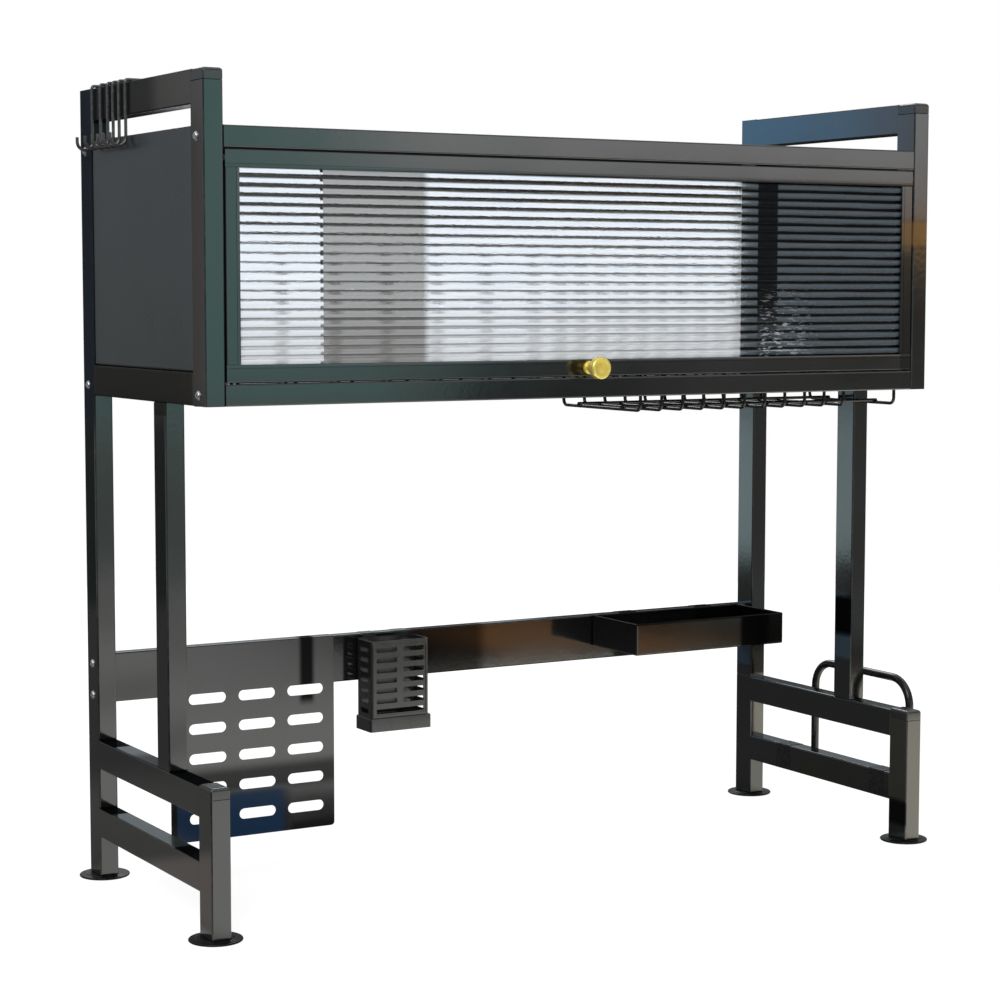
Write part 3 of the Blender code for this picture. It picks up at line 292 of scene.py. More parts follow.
CAMERA_PLACE = Vector((-1.2898, -2.1865, 0.6092))
CAMERA_TARGET = Vector((-0.0206, 0.0, 0.3877))
CAMERA_ROLL = 0.00092
SENSOR_WIDTH = 36
LENS = 85.91
camera = bpy.data.objects.new("camera", bpy.data.cameras.new("camera"))
camera.data.sensor_width = SENSOR_WIDTH
camera.data.lens = LENS
camera.location = CAMERA_PLACE
aim = (CAMERA_TARGET - CAMERA_PLACE).to_track_quat("-Z", "Y")
camera.rotation_euler = (aim @ Quaternion((0, 0, 1), CAMERA_ROLL)).to_euler()
bpy.context.scene.collection.objects.link(camera)
bpy.context.scene.camera = camera
bpy.context.scene.view_settings.view_transform = "Standard"


# Base frames. Steel tube, 20 by 30 mm, drawn with soft corners and cut square, is welded into two low
# frames. Their smooth gloss black stove paint shows a little orange peel and thins on the corners.

TUBE_CORNER = 0.0016
TUBE_WALL = 0.0012
CUT_EDGE = 0.0003
CORNER_STEPS = 6
LEAST_CORNER = 0.0002
SEAM = 0.0003
SIDES = (("left", -1), ("right", 1))
PATCH_ROUGHNESS = 0.6
BARE_STEEL = (0.075, 0.080, 0.082)
DUST = (0.10, 0.10, 0.10)


def patch(colour, share, **spans):
    """A patch of painted reflection or painted shade on a finish. Each span along an axis has a start, an
    end and a softness.
    """
    return colour, share, spans


def mirrored(paint, place, reflections_and_shade):
    """Lays painted reflections and painted shade over a finish, as fixed patches where its gloss would see a
    dark or tinted neighbour.
    """
    at = paint.parts(place)
    most, tone = 0.0, (0.0, 0.0, 0.0)
    for colour, share, spans in reflections_and_shade:
        inside = 1.0
        for axis, (start, end, soft) in spans.items():
            inside = paint.span(at[axis], start, end, soft) * inside
        tone = paint.mix(inside, tone, colour)
        most = paint.math("MAXIMUM", most, inside * share)
    paint.cover(most, paint.dull(tone, PATCH_ROUGHNESS))


def black_paint(name, slot, colour, rough, peel, reflection_tints=(), worn=0.35, reflections_and_shade=()):
    """Gloss black paint on steel. Reflection tints are painted reflections laid into the base colour, in
    soft zones: middle, radius and colour; the other patches are painted reflections and painted shade.
    """
    paint = Paint(name, slot, {"Specular IOR Level": 1.0, "IOR": 1.5})
    place = paint.place()
    cloud = paint.noise(place, 7.0, 4.0, 0.6)
    dust = paint.noise(place, 420.0, 2.0)
    deep = tuple(0.72 * c for c in colour)
    body = paint.mix(paint.rise(cloud, 0.30, 0.72), deep, colour)
    # Painted reflections: each tint colours the base around its middle.
    for middle, radius, tint in reflection_tints:
        away = paint.vector("DISTANCE", place, middle, output="Value")
        wave = paint.noise(place, 16.0, 2.0) * 0.35 * radius
        body = paint.mix(paint.rise(away + wave, 1.15 * radius, 0.25 * radius), body, tint)
    rim = paint.node("ShaderNodeAttribute", {"attribute_name": "rim"}, output="Fac")
    scuff = paint.rise(paint.noise(place, 60.0, 5.0, 0.65), 0.42, 0.66)
    bare = rim * scuff * worn
    body = paint.mix(bare, body, BARE_STEEL)
    fleck = paint.rise(dust, 0.70, 0.80) * 0.12
    body = paint.mix(fleck, body, DUST)
    gloss = rough + paint.rise(cloud, 0.35, 0.75) * 0.05 + bare * 0.22
    skin = paint.noise(place, 260.0, 2.0, 0.4) + paint.noise(place, 60.0, 1.0) * 0.8
    paint.vary({"Base Color": body, "Roughness": gloss, "Normal": paint.bump(skin, peel, 0.0006)})
    # Painted reflections and painted shade go over the gloss as fixed patches.
    if reflections_and_shade:
        mirrored(paint, place, reflections_and_shade)
    return paint


def along(axis):
    """Turns two places across a bar and one along it into a point."""
    return {"X": lambda u, v, t: Vector((t, u, v)),
            "Y": lambda u, v, t: Vector((u, t, v)),
            "Z": lambda u, v, t: Vector((u, v, t))}[axis]


def rounded_ring(width, depth, radius, steps=CORNER_STEPS):
    """A rectangle with round corners, as pairs about its middle."""
    pairs = []
    for quarter, (right, up) in enumerate(((1, 1), (-1, 1), (-1, -1), (1, -1))):
        for step in range(steps + 1):
            turn = math.pi / 2 * (quarter + step / steps)
            pairs.append((right * (width / 2 - radius) + radius * math.cos(turn),
                          up * (depth / 2 - radius) + radius * math.sin(turn)))
    return pairs


def loft(shape, rings, looped=False):
    """Joins rings of points with faces, and closes the two ends or joins them."""
    rows = [[shape.verts.new(point) for point in ring] for ring in rings]
    pairs = list(zip(rows, rows[1:])) + ([(rows[-1], rows[0])] if looped else [])
    for near, far in pairs:
        for i in range(len(near)):
            j = (i + 1) % len(near)
            shape.faces.new((near[i], near[j], far[j], far[i]))
    if not looped:
        shape.faces.new(rows[0])
        shape.faces.new(rows[-1])
    return rows


def tube(shape, low, high, axis, shut):
    """A hollow bar with drawn corners and eased cut ends; a shut end is capped flush."""
    point = along(axis)
    sides = [i for i in range(3) if i != "XYZ".index(axis)]
    run = "XYZ".index(axis)
    width, depth = (high[i] - low[i] for i in sides)
    middle = [(high[i] + low[i]) / 2 for i in sides]

    def ring(inset, t):
        pairs = rounded_ring(width - 2 * inset, depth - 2 * inset, max(TUBE_CORNER - inset, LEAST_CORNER))
        return [point(middle[0] + u, middle[1] + v, t) for u, v in pairs]

    rim = shape.verts.layers.float.get("rim") or shape.verts.layers.float.new("rim")
    start, end = low[run], high[run]
    rings = [ring(CUT_EDGE, start), ring(0, start + CUT_EDGE), ring(0, end - CUT_EDGE), ring(CUT_EDGE, end)]
    if shut == (False, False):
        rows = loft(shape, rings + [ring(TUBE_WALL, end), ring(TUBE_WALL, start)], looped=True)[:4]
    elif shut == (False, True):
        rows = loft(shape, [ring(TUBE_WALL, end - TUBE_WALL), ring(TUBE_WALL, start)] + rings)[2:]
    else:
        rows = loft(shape, rings + [ring(TUBE_WALL, end), ring(TUBE_WALL, start + TUBE_WALL)])[:4]
    for row in rows:
        for i, corner_point in enumerate(row):
            corner_point[rim] = math.sin(math.pi * (i % (CORNER_STEPS + 1)) / CORNER_STEPS)


def dress(name, shape, paint, body, nodes=(), sharp=35, cutter=None):
    """Makes a piece of a shape: smooth where it is round, painted, and riding on its body."""
    bmesh.ops.recalc_face_normals(shape, faces=shape.faces)
    mesh = bpy.data.meshes.new(name)
    shape.to_mesh(mesh)
    shape.free()
    if cutter:
        mesh = carved(mesh, cutter)
    mesh.shade_smooth()
    mesh.set_sharp_from_angle(angle=math.radians(sharp))
    mesh.materials.clear()
    mesh.materials.append(paint.material)
    piece = bpy.data.objects.new(name, mesh)
    bpy.context.scene.collection.objects.link(piece)
    even = piece.modifiers.new("even_shading", "WEIGHTED_NORMAL")
    even.keep_sharp = True
    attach(piece, body)
    if nodes:
        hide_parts(*nodes)
    return piece


def carved(mesh, cutter):
    """The mesh with a cutter's shape taken out of it."""
    bmesh.ops.recalc_face_normals(cutter, faces=cutter.faces)
    tool_mesh = bpy.data.meshes.new("tool")
    cutter.to_mesh(tool_mesh)
    cutter.free()
    tool = bpy.data.objects.new("tool", tool_mesh)
    whole = bpy.data.objects.new("whole", mesh)
    for thing in (tool, whole):
        bpy.context.scene.collection.objects.link(thing)
    cut = whole.modifiers.new("cut", "BOOLEAN")
    cut.operation = "DIFFERENCE"
    cut.object = tool
    bpy.context.view_layer.update()
    graph = bpy.context.evaluated_depsgraph_get()
    result = bpy.data.meshes.new_from_object(whole.evaluated_get(graph), depsgraph=graph)
    bpy.data.objects.remove(tool)
    bpy.data.objects.remove(whole)
    return result


def keep(paint, *nodes):
    """Gives a finish to parts of the frame that are shown as they are."""
    for node in nodes:
        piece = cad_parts[node]
        piece.data.materials.clear()
        piece.data.materials.append(paint.material)


# Painted reflections and painted shade on the tubes: fixed patches for what their gloss sees close by, the
# hooks, the tray, the cabinet and the other tubes.
OUTER_LEFT = (-0.430, -0.4235, 0.0006)
LEFT_TUBES = (-0.430, -0.400, 0.001)
RIGHT_TUBES = (0.400, 0.430, 0.001)
INNER_RIGHT = (0.400, 0.4062, 0.0005)
DEEP_BLACK = (0.002, 0.002, 0.0025)
UPPER_TOP = (0.1448, 0.1470, 0.0004)
LOWER_TOP = (0.0733, 0.0755, 0.0004)
MID_POST_REAR = (-0.0610, -0.0305, 0.001)
REAR_POST_FRONT = (0.1270, 0.1300, 0.0005)
FRONT_LEG = (-0.1650, -0.1310, 0.001)
TUBE_REFLECTIONS_AND_SHADE = (
    patch(DEEP_BLACK, 0.95, X=LEFT_TUBES, Y=(-0.1325, -0.0605, 0.0006), Z=UPPER_TOP),
    patch(DEEP_BLACK, 0.95, X=LEFT_TUBES, Y=(0.086, 0.1300, 0.0020), Z=UPPER_TOP),
    patch(DEEP_BLACK, 0.95, X=LEFT_TUBES, Y=(-0.1325, -0.070, 0.0020), Z=LOWER_TOP),
    patch(DEEP_BLACK, 0.95, X=LEFT_TUBES, Y=(0.095, 0.1300, 0.0020), Z=LOWER_TOP),
    patch((0.010, 0.015, 0.026), 0.80, X=OUTER_LEFT, Y=(0.1280, 0.1650, 0.0006), Z=(0.470, 0.830, 0.030)),
    patch((0.016, 0.017, 0.019), 0.60, X=OUTER_LEFT, Y=(-0.040, 0.1280, 0.020), Z=(0.776, 0.830, 0.002)),
    patch((0.020, 0.024, 0.028), 0.60, X=LEFT_TUBES, Y=(-0.0305, 0.035, 0.018), Z=UPPER_TOP),
    patch((0.010, 0.010, 0.010), 0.60, X=OUTER_LEFT, Y=(-0.1285, 0.1285, 0.004), Z=(0.490, 0.5335, 0.0006)),
    patch((0.015, 0.016, 0.017), 0.90, X=LEFT_TUBES, Y=REAR_POST_FRONT, Z=(0.755, 0.783, 0.002)),
    patch((0.25, 0.135, 0.040), 0.60, X=RIGHT_TUBES, Y=(-0.165, -0.155, 0.001), Z=(0.657, 0.686, 0.005)),
    patch((0.045, 0.075, 0.100), 0.70, X=INNER_RIGHT, Y=MID_POST_REAR, Z=(0.190, 0.2198, 0.005)),
    patch(DEEP_BLACK, 0.95, X=INNER_RIGHT, Y=MID_POST_REAR, Z=(0.2198, 0.262, 0.004)),
    patch((0.055, 0.088, 0.125), 0.80, X=INNER_RIGHT, Y=(0.1280, 0.1650, 0.001), Z=(0.158, 0.186, 0.003)),
    patch(DEEP_BLACK, 0.85, X=(0.404, 0.430, 0.001), Y=REAR_POST_FRONT, Z=(0.148, 0.186, 0.003)),
    patch(DEEP_BLACK, 0.95, X=RIGHT_TUBES, Y=REAR_POST_FRONT, Z=(0.523, 0.742, 0.001)),
    patch((0.050, 0.050, 0.041), 0.60, X=INNER_RIGHT, Y=FRONT_LEG, Z=(0.046, 0.142, 0.003)),
    patch(DEEP_BLACK, 0.80, X=INNER_RIGHT, Y=FRONT_LEG, Z=(0.018, 0.046, 0.004)),
)
# The frame's tint near the top of the right front post is a painted copper reflection.
frame_paint = black_paint(
    "gloss_black_tube", "painted_tube", (0.0095, 0.0100, 0.0102), 0.085, 0.035,
    reflection_tints=(((0.43, -0.162, 0.668), 0.020, (0.10, 0.050, 0.018)),), reflections_and_shade=TUBE_REFLECTIONS_AND_SHADE)


def steel_bar(node, axis, paint=frame_paint, shut=(False, False), cutter=None, name=None):
    """The tube of one node. A bar along Y runs on into the round corners of the legs or posts it meets."""
    low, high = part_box(node)
    if axis == "Y":
        low.y -= SEAM + TUBE_CORNER
        high.y += SEAM + TUBE_CORNER
    bar = bmesh.new()
    tube(bar, low, high, axis, shut)
    dress(name or node + "_tube", bar, paint, "frame", (node,), cutter=cutter)


for side, sign in SIDES:
    for part, axis in (("base_rear_leg", "Z"), ("base_front_leg", "Z"),
                       ("base_lower_rail", "Y"), ("base_upper_rail", "Y")):
        steel_bar(f"{side}_{part}", axis)


# Welds. Short beads run where a rail's top and bottom edges meet a leg; they were ground flush on the flat
# faces, and on top of the lower rails where the board holder slides. The paint lies over their ripples.

BEAD_RADIUS = 0.0008
BEAD_SIDES = 8
RIPPLE_LENGTH = 0.0016
BEAD_STEP = 0.0004
RIPPLE_SHARE = 0.13
TAPER_SHARE = 0.35
DOME_SHARE = 0.45
DOME_ANGLES = (30, 60, 80)


def sweep(shape, path, radius, sides, swell=None, domed=True):
    """A round bar along a path of points. Swell scales the radius at a share of the way along."""
    points = [Vector(p) for p in path]
    tangents = []
    for i in range(len(points)):
        ahead = points[min(i + 1, len(points) - 1)] - points[max(i - 1, 0)]
        tangents.append(ahead.normalized())
    across = tangents[0].orthogonal().normalized()
    rings = []
    for i, (point, tangent) in enumerate(zip(points, tangents)):
        if i:
            across = (across - tangent * across.dot(tangent)).normalized()
        up = tangent.cross(across)
        size = radius * (swell(i / (len(points) - 1)) if swell else 1)
        rings.append([point + (across * math.cos(2 * math.pi * k / sides)
                               + up * math.sin(2 * math.pi * k / sides)) * size for k in range(sides)])
    if domed:
        rings = dome(rings[0], points[0], -tangents[0], radius)[::-1] + rings
        rings = rings + dome(rings[-1], points[-1], tangents[-1], radius)
    loft(shape, rings)


def dome(ring, middle, outward, radius):
    """Smaller and smaller rings that round off a cut end, within half of the radius."""
    rings = []
    for angle in DOME_ANGLES:
        lift = outward * radius * DOME_SHARE * math.sin(math.radians(angle))
        rings.append([middle + (p - middle) * math.cos(math.radians(angle)) + lift for p in ring])
    return rings


def bead(shape, start, end):
    """A rippled bead of weld that thins towards its ends."""
    start, end = Vector(start), Vector(end)
    length = (end - start).length
    count = max(int(length / BEAD_STEP), 8)
    path = [start.lerp(end, i / count) for i in range(count + 1)]

    def swell(share):
        ripple = 1 + RIPPLE_SHARE * math.sin(2 * math.pi * share * length / RIPPLE_LENGTH)
        return ripple * (1 - TAPER_SHARE * (2 * share - 1) ** 6)

    sweep(shape, path, BEAD_RADIUS, BEAD_SIDES, swell)


for side, sign in SIDES:
    seams = bmesh.new()
    box = {node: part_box(f"{side}_{node}") for node in
           ("base_front_leg", "base_rear_leg", "base_lower_rail", "base_upper_rail",
            "front_post", "rear_post", "mid_post", "handle_bar", "bottom_bar")}
    near_x, far_x = box["base_front_leg"][0].x + TUBE_CORNER, box["base_front_leg"][1].x - TUBE_CORNER
    legs = (box["base_front_leg"][1].y, box["base_rear_leg"][0].y)
    posts = (box["front_post"][1].y, box["rear_post"][0].y)
    mid_post = (box["mid_post"][0].y, box["mid_post"][1].y)
    for ends, z in ((legs, box["base_lower_rail"][0].z), (legs, box["base_upper_rail"][0].z),
                    (legs, box["base_upper_rail"][1].z), (posts, box["handle_bar"][0].z),
                    (posts, box["bottom_bar"][0].z), (mid_post, box["bottom_bar"][0].z)):
        for y in ends:
            bead(seams, (near_x, y, z), (far_x, y, z))
    dress(side + "_weld_beads", seams, frame_paint, "frame", sharp=60)


# Feet. Round pads of hard black rubber, 52 mm across, with a stem pushed up into the bore of each leg. The
# rim is rolled over and polished by the mould, the top is a shallow cone and the underside has grip rings.

FOOT_SIDES = 72
FOOT_RIM = 0.0011
FOOT_FLAT = 0.0185
GRIP_RINGS = (0.0090, 0.0135, 0.0180)
GRIP_DEPTH = 0.0006
BORE_CORNER = 0.0010


def turned(shape, profile, middle, axis="Z", steps=64):
    """A profile of (radius, height) pairs turned about an axis through a point."""
    point = along(axis)
    rings = []
    for radius, height in profile:
        rings.append([Vector(middle) + point(radius * math.cos(2 * math.pi * k / steps),
                                             radius * math.sin(2 * math.pi * k / steps), height)
                      for k in range(steps)])
    loft(shape, rings)


def arc(middle, radius, start, end, steps):
    """Points on a flat arc, as pairs; angles in degrees."""
    turns = [math.radians(start + (end - start) * i / steps) for i in range(steps + 1)]
    return [(middle[0] + radius * math.cos(t), middle[1] + radius * math.sin(t)) for t in turns]


rubber = Paint("foot_rubber", "foot_rubber", {"Specular IOR Level": 0.2})
place = rubber.place()
dusty = rubber.rise(rubber.noise(place, 130.0, 4.0, 0.6), 0.35, 0.75)
rubber.vary({"Base Color": rubber.mix(dusty, (0.0030, 0.0030, 0.0032), (0.0075, 0.0075, 0.0074)),
             "Roughness": 0.24 + dusty * 0.22,
             "Normal": rubber.bump(rubber.noise(place, 900.0, 2.0), 0.10, 0.0004)})
for side, sign in SIDES:
    for end in ("front", "rear"):
        node = f"{side}_{end}_foot"
        low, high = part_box(node)
        leg_low, leg_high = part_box(f"{side}_base_{end}_leg")
        middle = ((low.x + high.x) / 2, (low.y + high.y) / 2, 0)
        radius = (high.x - low.x) / 2
        thick = leg_low.z - SEAM
        profile = [(FOOT_FLAT, thick), (FOOT_FLAT + 0.0005, thick - 0.0002),
                   (FOOT_FLAT + 0.0012, thick - 0.0006)]
        profile += arc((radius - FOOT_RIM, thick - 0.0009 - FOOT_RIM), FOOT_RIM, 80, -60, 7)
        profile += [(radius - 0.0016, 0.0)]
        for groove in reversed(GRIP_RINGS):
            profile += [(groove + 0.0008, 0.0), (groove + 0.0004, GRIP_DEPTH),
                        (groove - 0.0004, GRIP_DEPTH), (groove - 0.0008, 0.0)]
        pad = bmesh.new()
        turned(pad, profile, middle, steps=FOOT_SIDES)
        stem = high.z - FOOT_RIM
        bore = leg_high - leg_low - Vector((1, 1, 0)) * 2 * (TUBE_WALL + SEAM)
        outline = rounded_ring(bore.x, bore.y, BORE_CORNER)
        loft(pad, [[Vector((middle[0] + u * s, middle[1] + v * s, z)) for u, v in outline]
                   for s, z in ((1, thick - 0.0004), (1, stem), (0.86, high.z))])
        dress(node + "_pad", pad, rubber, "frame", (node,), sharp=50)


# Tube caps. Moulded black plastic plugs close the front legs and the front posts; the crown is rounded over
# and a fine shadow line shows where its shoulder sits on the tube.

CAP_CROWN = 0.0034
CROWN_STEPS = 7
CROWN_TURN = 84
CROWN_CORNER = 0.0008
CAP_SHOULDER = 0.0002

plastic = Paint("moulded_plastic", "moulded_plastic", {"Specular IOR Level": 0.9})
place = plastic.place()
grain = plastic.noise(place, 1500.0, 2.0, 0.6)
flow = plastic.rise(plastic.noise(place, 24.0, 3.0), 0.35, 0.70)
plastic.vary({"Base Color": plastic.mix(flow, (0.0120, 0.0122, 0.0122), (0.0200, 0.0202, 0.0200)),
              "Roughness": 0.16 + flow * 0.08 + grain * 0.04,
              "Normal": plastic.bump(grain, 0.12, 0.0003)})
for side, sign in SIDES:
    for node, tube_node in ((side + "_front_post_cap", side + "_front_post"),
                            (side + "_base_leg_cap", side + "_base_front_leg")):
        low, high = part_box(node)
        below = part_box(tube_node)[1].z
        x, y = (low.x + high.x) / 2, (low.y + high.y) / 2
        size = high - low
        steps = [(CAP_SHOULDER, below + SEAM), (0, below + SEAM + CAP_SHOULDER)]
        steps += [(CAP_CROWN - u, high.z - CAP_CROWN + v)
                  for u, v in arc((0, 0), CAP_CROWN, 0, CROWN_TURN, CROWN_STEPS)]
        crown = bmesh.new()
        rings = []
        for inset, z in steps:
            corner = max(TUBE_CORNER - inset / 3, CROWN_CORNER)
            pairs = rounded_ring(size.x - 2 * inset, size.y - 2 * inset, corner)
            rings.append([Vector((x + u, y + v, z)) for u, v in pairs])
        loft(crown, rings)
        bore = size - Vector((1, 1, 0)) * 2 * (TUBE_WALL + SEAM)
        plug = rounded_ring(bore.x, bore.y, BORE_CORNER)
        loft(crown, [[Vector((x + u, y + v, z)) for u, v in plug] for z in (low.z, below + 2 * SEAM)])
        dress(node + "_moulding", crown, plastic, "frame", (node,), sharp=50)


# Side frames. The same tube makes the posts, the handle bars and the bottom bars. The rear posts are capped
# flush and the front posts drilled for the door pivots. Hidden spigots join the posts to the base frames.

keep(frame_paint, *(f"{side}_{post}_spigot" for side, sign in SIDES for post in ("rear", "mid")))
PIVOT_HOLE = 0.00165
DRILL_REACH = 0.004
for side, sign in SIDES:
    for part, axis, shut in (("rear_post", "Z", (False, True)), ("mid_post", "Z", (False, False)),
                             ("handle_bar", "Y", (False, False)), ("bottom_bar", "Y", (False, False))):
        steel_bar(f"{side}_{part}", axis, shut=shut)
    low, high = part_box(side + "_front_post")
    pin_low, pin_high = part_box(side + "_door_pivot")
    pin = (pin_low + pin_high) / 2
    drill = bmesh.new()
    inner_x = low.x if sign > 0 else high.x
    turned(drill, [(PIVOT_HOLE, -DRILL_REACH), (PIVOT_HOLE, DRILL_REACH)], (inner_x, pin.y, pin.z), "X", 24)
    steel_bar(side + "_front_post", "Z", shut=(True, False), cutter=drill)


# Sheet panels. The side panels and the cabinet top are steel sheet, 1 mm thick, folded into shallow pans
# with their flanges turned inwards, and painted satin black.

SHEET = 0.001
FOLD = 0.0022
PAN_CORNER = 0.0030
FOLD_STEPS = 5


def pan(shape, low, high, facing, fold=FOLD, corner=PAN_CORNER, sheet=SHEET, hem=0.0):
    """A folded sheet pan that opens towards facing, such as "+X"; a hem rolls its lip inwards."""
    axis = facing[1]
    run = "XYZ".index(axis)
    point = along(axis)
    sides = [i for i in range(3) if i != run]
    width, depth = (high[i] - low[i] for i in sides)
    middle = [(high[i] + low[i]) / 2 for i in sides]
    back, lip = (low[run], high[run]) if facing[0] == "+" else (high[run], low[run])
    inward = 1 if lip > back else -1
    tall = abs(lip - back)
    outer = [(fold - u, fold - v) for u, v in arc((0, 0), fold, 90, 0, FOLD_STEPS)]
    inner = [(fold - u, fold - v) for u, v in arc((0, 0), fold - sheet, 0, 90, FOLD_STEPS)]
    if hem:
        top = [(hem - u, tall - hem + v) for u, v in arc((0, 0), hem, 0, 180, 10)]
        top += [(2 * hem, tall - 2 * hem), (sheet + 0.0001, tall - 2 * hem)]
    else:
        top = [(0, tall - 0.0002), (0.0002, tall), (sheet - 0.0002, tall), (sheet, tall - 0.0002)]
    rings = []
    for inset, height in outer + top + inner:
        pairs = rounded_ring(width - 2 * inset, depth - 2 * inset, max(corner - inset, 0.0004))
        rings.append([point(middle[0] + u, middle[1] + v, back + inward * height) for u, v in pairs])
    loft(shape, rings)


# Painted reflection: seen through the door, the inside of the right panel is painted a dark slate blue.
REFLECTED_SLATE = (0.090, 0.115, 0.135)
inside_x = (0.300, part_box("right_side_panel")[1].x - SHEET / 2, 0.0002)
sheet_paint = black_paint(
    "satin_black_sheet", "painted_sheet", (0.0235, 0.0235, 0.0228), 0.27, 0.035, worn=0.0,
    reflections_and_shade=(patch(REFLECTED_SLATE, 0.80, X=inside_x),))
for side, sign in SIDES:
    low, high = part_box(side + "_side_panel")
    panel = bmesh.new()
    pan(panel, low, high, "-X" if sign > 0 else "+X")
    dress(side + "_side_sheet", panel, sheet_paint, "frame", (side + "_side_panel",))
low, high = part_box("top_panel")
panel = bmesh.new()
pan(panel, low, high, "-Z")
dress("top_sheet", panel, sheet_paint, "frame", ("top_panel",))


# Cabinet rails and crossbar. Four slim tubes tie the side frames together round the cabinet, and a flat tube
# runs across the back to carry the accessories.

rail_paint = black_paint(
    "gloss_black_rail", "painted_tube", (0.0095, 0.0100, 0.0102), 0.085, 0.035)
for node in ("front_top_rail", "front_bottom_rail", "rear_top_rail", "rear_bottom_rail"):
    steel_bar(node, "X", rail_paint)
# A painted dark warm reflection lies across the middle of the crossbar.
bar_paint = black_paint(
    "gloss_black_crossbar", "painted_tube", (0.0075, 0.0075, 0.0078), 0.075, 0.03,
    reflections_and_shade=(patch((0.008, 0.006, 0.005), 0.70, X=(-0.060, 0.036, 0.010)),))
steel_bar("back_crossbar", "X", bar_paint, name="crossbar_tube")


# Bolts. Zinc-plated button heads with a hexagon socket hold the cabinet rails and the crossbar from outside
# each post, on a thin pressed collar.

BOLT_RADIUS = 0.0040
BOLT_HEIGHT = 0.0021
SOCKET_RADIUS = 0.0017
SOCKET_DEPTH = 0.0013
BOLT_SIDES = 48
COLLAR_REACH = 0.0006
FRONT_BOLT_BACK = 0.002
REAR_BOLT_BACK = 0.001
CROSSBAR_BOLT_SHARES = (0.16, 0.80)

zinc = Paint("zinc_plate", "zinc_screw", {"Metallic": 1.0})
place = zinc.place()
bloom = zinc.rise(zinc.noise(place, 500.0, 4.0, 0.6), 0.35, 0.70)
zinc.vary({"Base Color": zinc.mix(bloom, (0.72, 0.73, 0.74), (0.55, 0.55, 0.54)),
           "Roughness": 0.20 + bloom * 0.18,
           "Normal": zinc.bump(zinc.noise(place, 2500.0, 2.0), 0.10, 0.0002)})


def hexagon(radius, turn):
    """The distance to the side of a hexagon in the direction of a turn."""
    return radius * math.cos(math.pi / 6) / math.cos((turn + math.pi / 6) % (math.pi / 3) - math.pi / 6)


def bolt(shape, base, sign):
    """A button head on a face of the X axis."""
    collar = BOLT_RADIUS + COLLAR_REACH
    stations = [(SOCKET_RADIUS, BOLT_HEIGHT - SOCKET_DEPTH, True),
                (SOCKET_RADIUS, BOLT_HEIGHT - 0.0001, True), (SOCKET_RADIUS + 0.0002, BOLT_HEIGHT, False)]
    stations += [(r, z, False) for r, z in arc((BOLT_RADIUS - 0.0019, 0.0003), 0.0018, 80, 0, 7)]
    stations += [(BOLT_RADIUS, 0.0003, False), (collar, 0.0002, False), (collar, 0.0, False)]
    rings = []
    for radius, height, six in stations:
        ring = []
        for k in range(BOLT_SIDES):
            turn = 2 * math.pi * k / BOLT_SIDES
            size = hexagon(radius, turn) if six else radius
            ring.append(Vector(base)
                        + Vector((sign * height, size * math.cos(turn), size * math.sin(turn))))
        rings.append(ring)
    loft(shape, rings)


bar_low, bar_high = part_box("back_crossbar")
for side, sign in SIDES:
    low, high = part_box(side + "_front_post")
    rear_low, rear_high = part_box(side + "_rear_post")
    face = sign * max(abs(low.x), abs(high.x))
    heads = bmesh.new()
    for rail in ("top", "bottom"):
        rail_low, rail_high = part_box(f"front_{rail}_rail")
        z = (rail_low.z + rail_high.z) / 2
        bolt(heads, (face, (low.y + high.y) / 2 + FRONT_BOLT_BACK, z), sign)
        bolt(heads, (face, (rear_low.y + rear_high.y) / 2 + REAR_BOLT_BACK, z), sign)
    for share in CROSSBAR_BOLT_SHARES:
        z = bar_low.z + share * (bar_high.z - bar_low.z)
        bolt(heads, (face, (bar_low.y + bar_high.y) / 2, z), sign)
    dress(side + "_bolt_heads", heads, zinc, "frame", sharp=40)


# Wire racks. Each hoop is one length of 3.5 mm wire bent to hook over the front rail, dip to the floor and
# rise in a narrow divider. Spot welds hold it across thicker rail wires, under a coat of black epoxy.

HOOP_RADIUS = 0.00175
RAIL_WIRE_RADIUS = 0.0020
WIRE_LAP = 0.0009
WIRE_SIDES = 12
HOOP_BEND = 0.0062
HOOK_BEND = 0.0032
BEND_STEPS = 6
DIVIDER_SETBACK = 0.170
DIVIDER_GAP = 0.014
OVERHANG = 0.0012
DOOR_PLAY = 0.001
FLOOR_SHARES = (0.22, 0.78)
BOWL_PITCH = 0.0595
BOWL_HOOPS = 8
LAST_BOWL = 0.0325
PLATE_PITCH = 0.0263
PLATE_HOOPS = 11
FIRST_PLATE = 0.0655
NUGGET_HALF = 0.0042
NUGGET_SIDES = 10
NUGGET_SHARE = 0.22
NUGGET_RISE = 0.0006
WIRE_END = 0.0008
LONG_WIRE_STEPS = 24

epoxy = Paint("black_epoxy_wire", "coated_wire", {"Specular IOR Level": 0.45})
place = epoxy.place()
sag = epoxy.rise(epoxy.noise(place, 180.0, 3.0, 0.6), 0.35, 0.70)
epoxy.vary({"Base Color": epoxy.mix(sag, (0.0085, 0.0086, 0.0090), (0.0160, 0.0162, 0.0165)),
            "Roughness": 0.17 + sag * 0.12,
            "Normal": epoxy.bump(epoxy.noise(place, 420.0, 2.0), 0.10, 0.0004)})


def bent(corners, radius, steps=BEND_STEPS):
    """Straight runs between corners, each corner swept to an arc."""
    points = [Vector(corners[0])]
    for before, corner, after in zip(corners, corners[1:], corners[2:]):
        corner = Vector(corner)
        inward = (corner - Vector(before)).normalized()
        outward = (Vector(after) - corner).normalized()
        turn = inward.angle(outward)
        start = corner - inward * radius * math.tan(turn / 2)
        middle = corner + (outward - inward).normalized() * (radius / math.cos(turn / 2))
        arm = start - middle
        for step in range(steps + 1):
            share = turn * step / steps
            points.append(middle + arm * math.cos(share) + inward * radius * math.sin(share))
    points.append(Vector(corners[-1]))
    return points


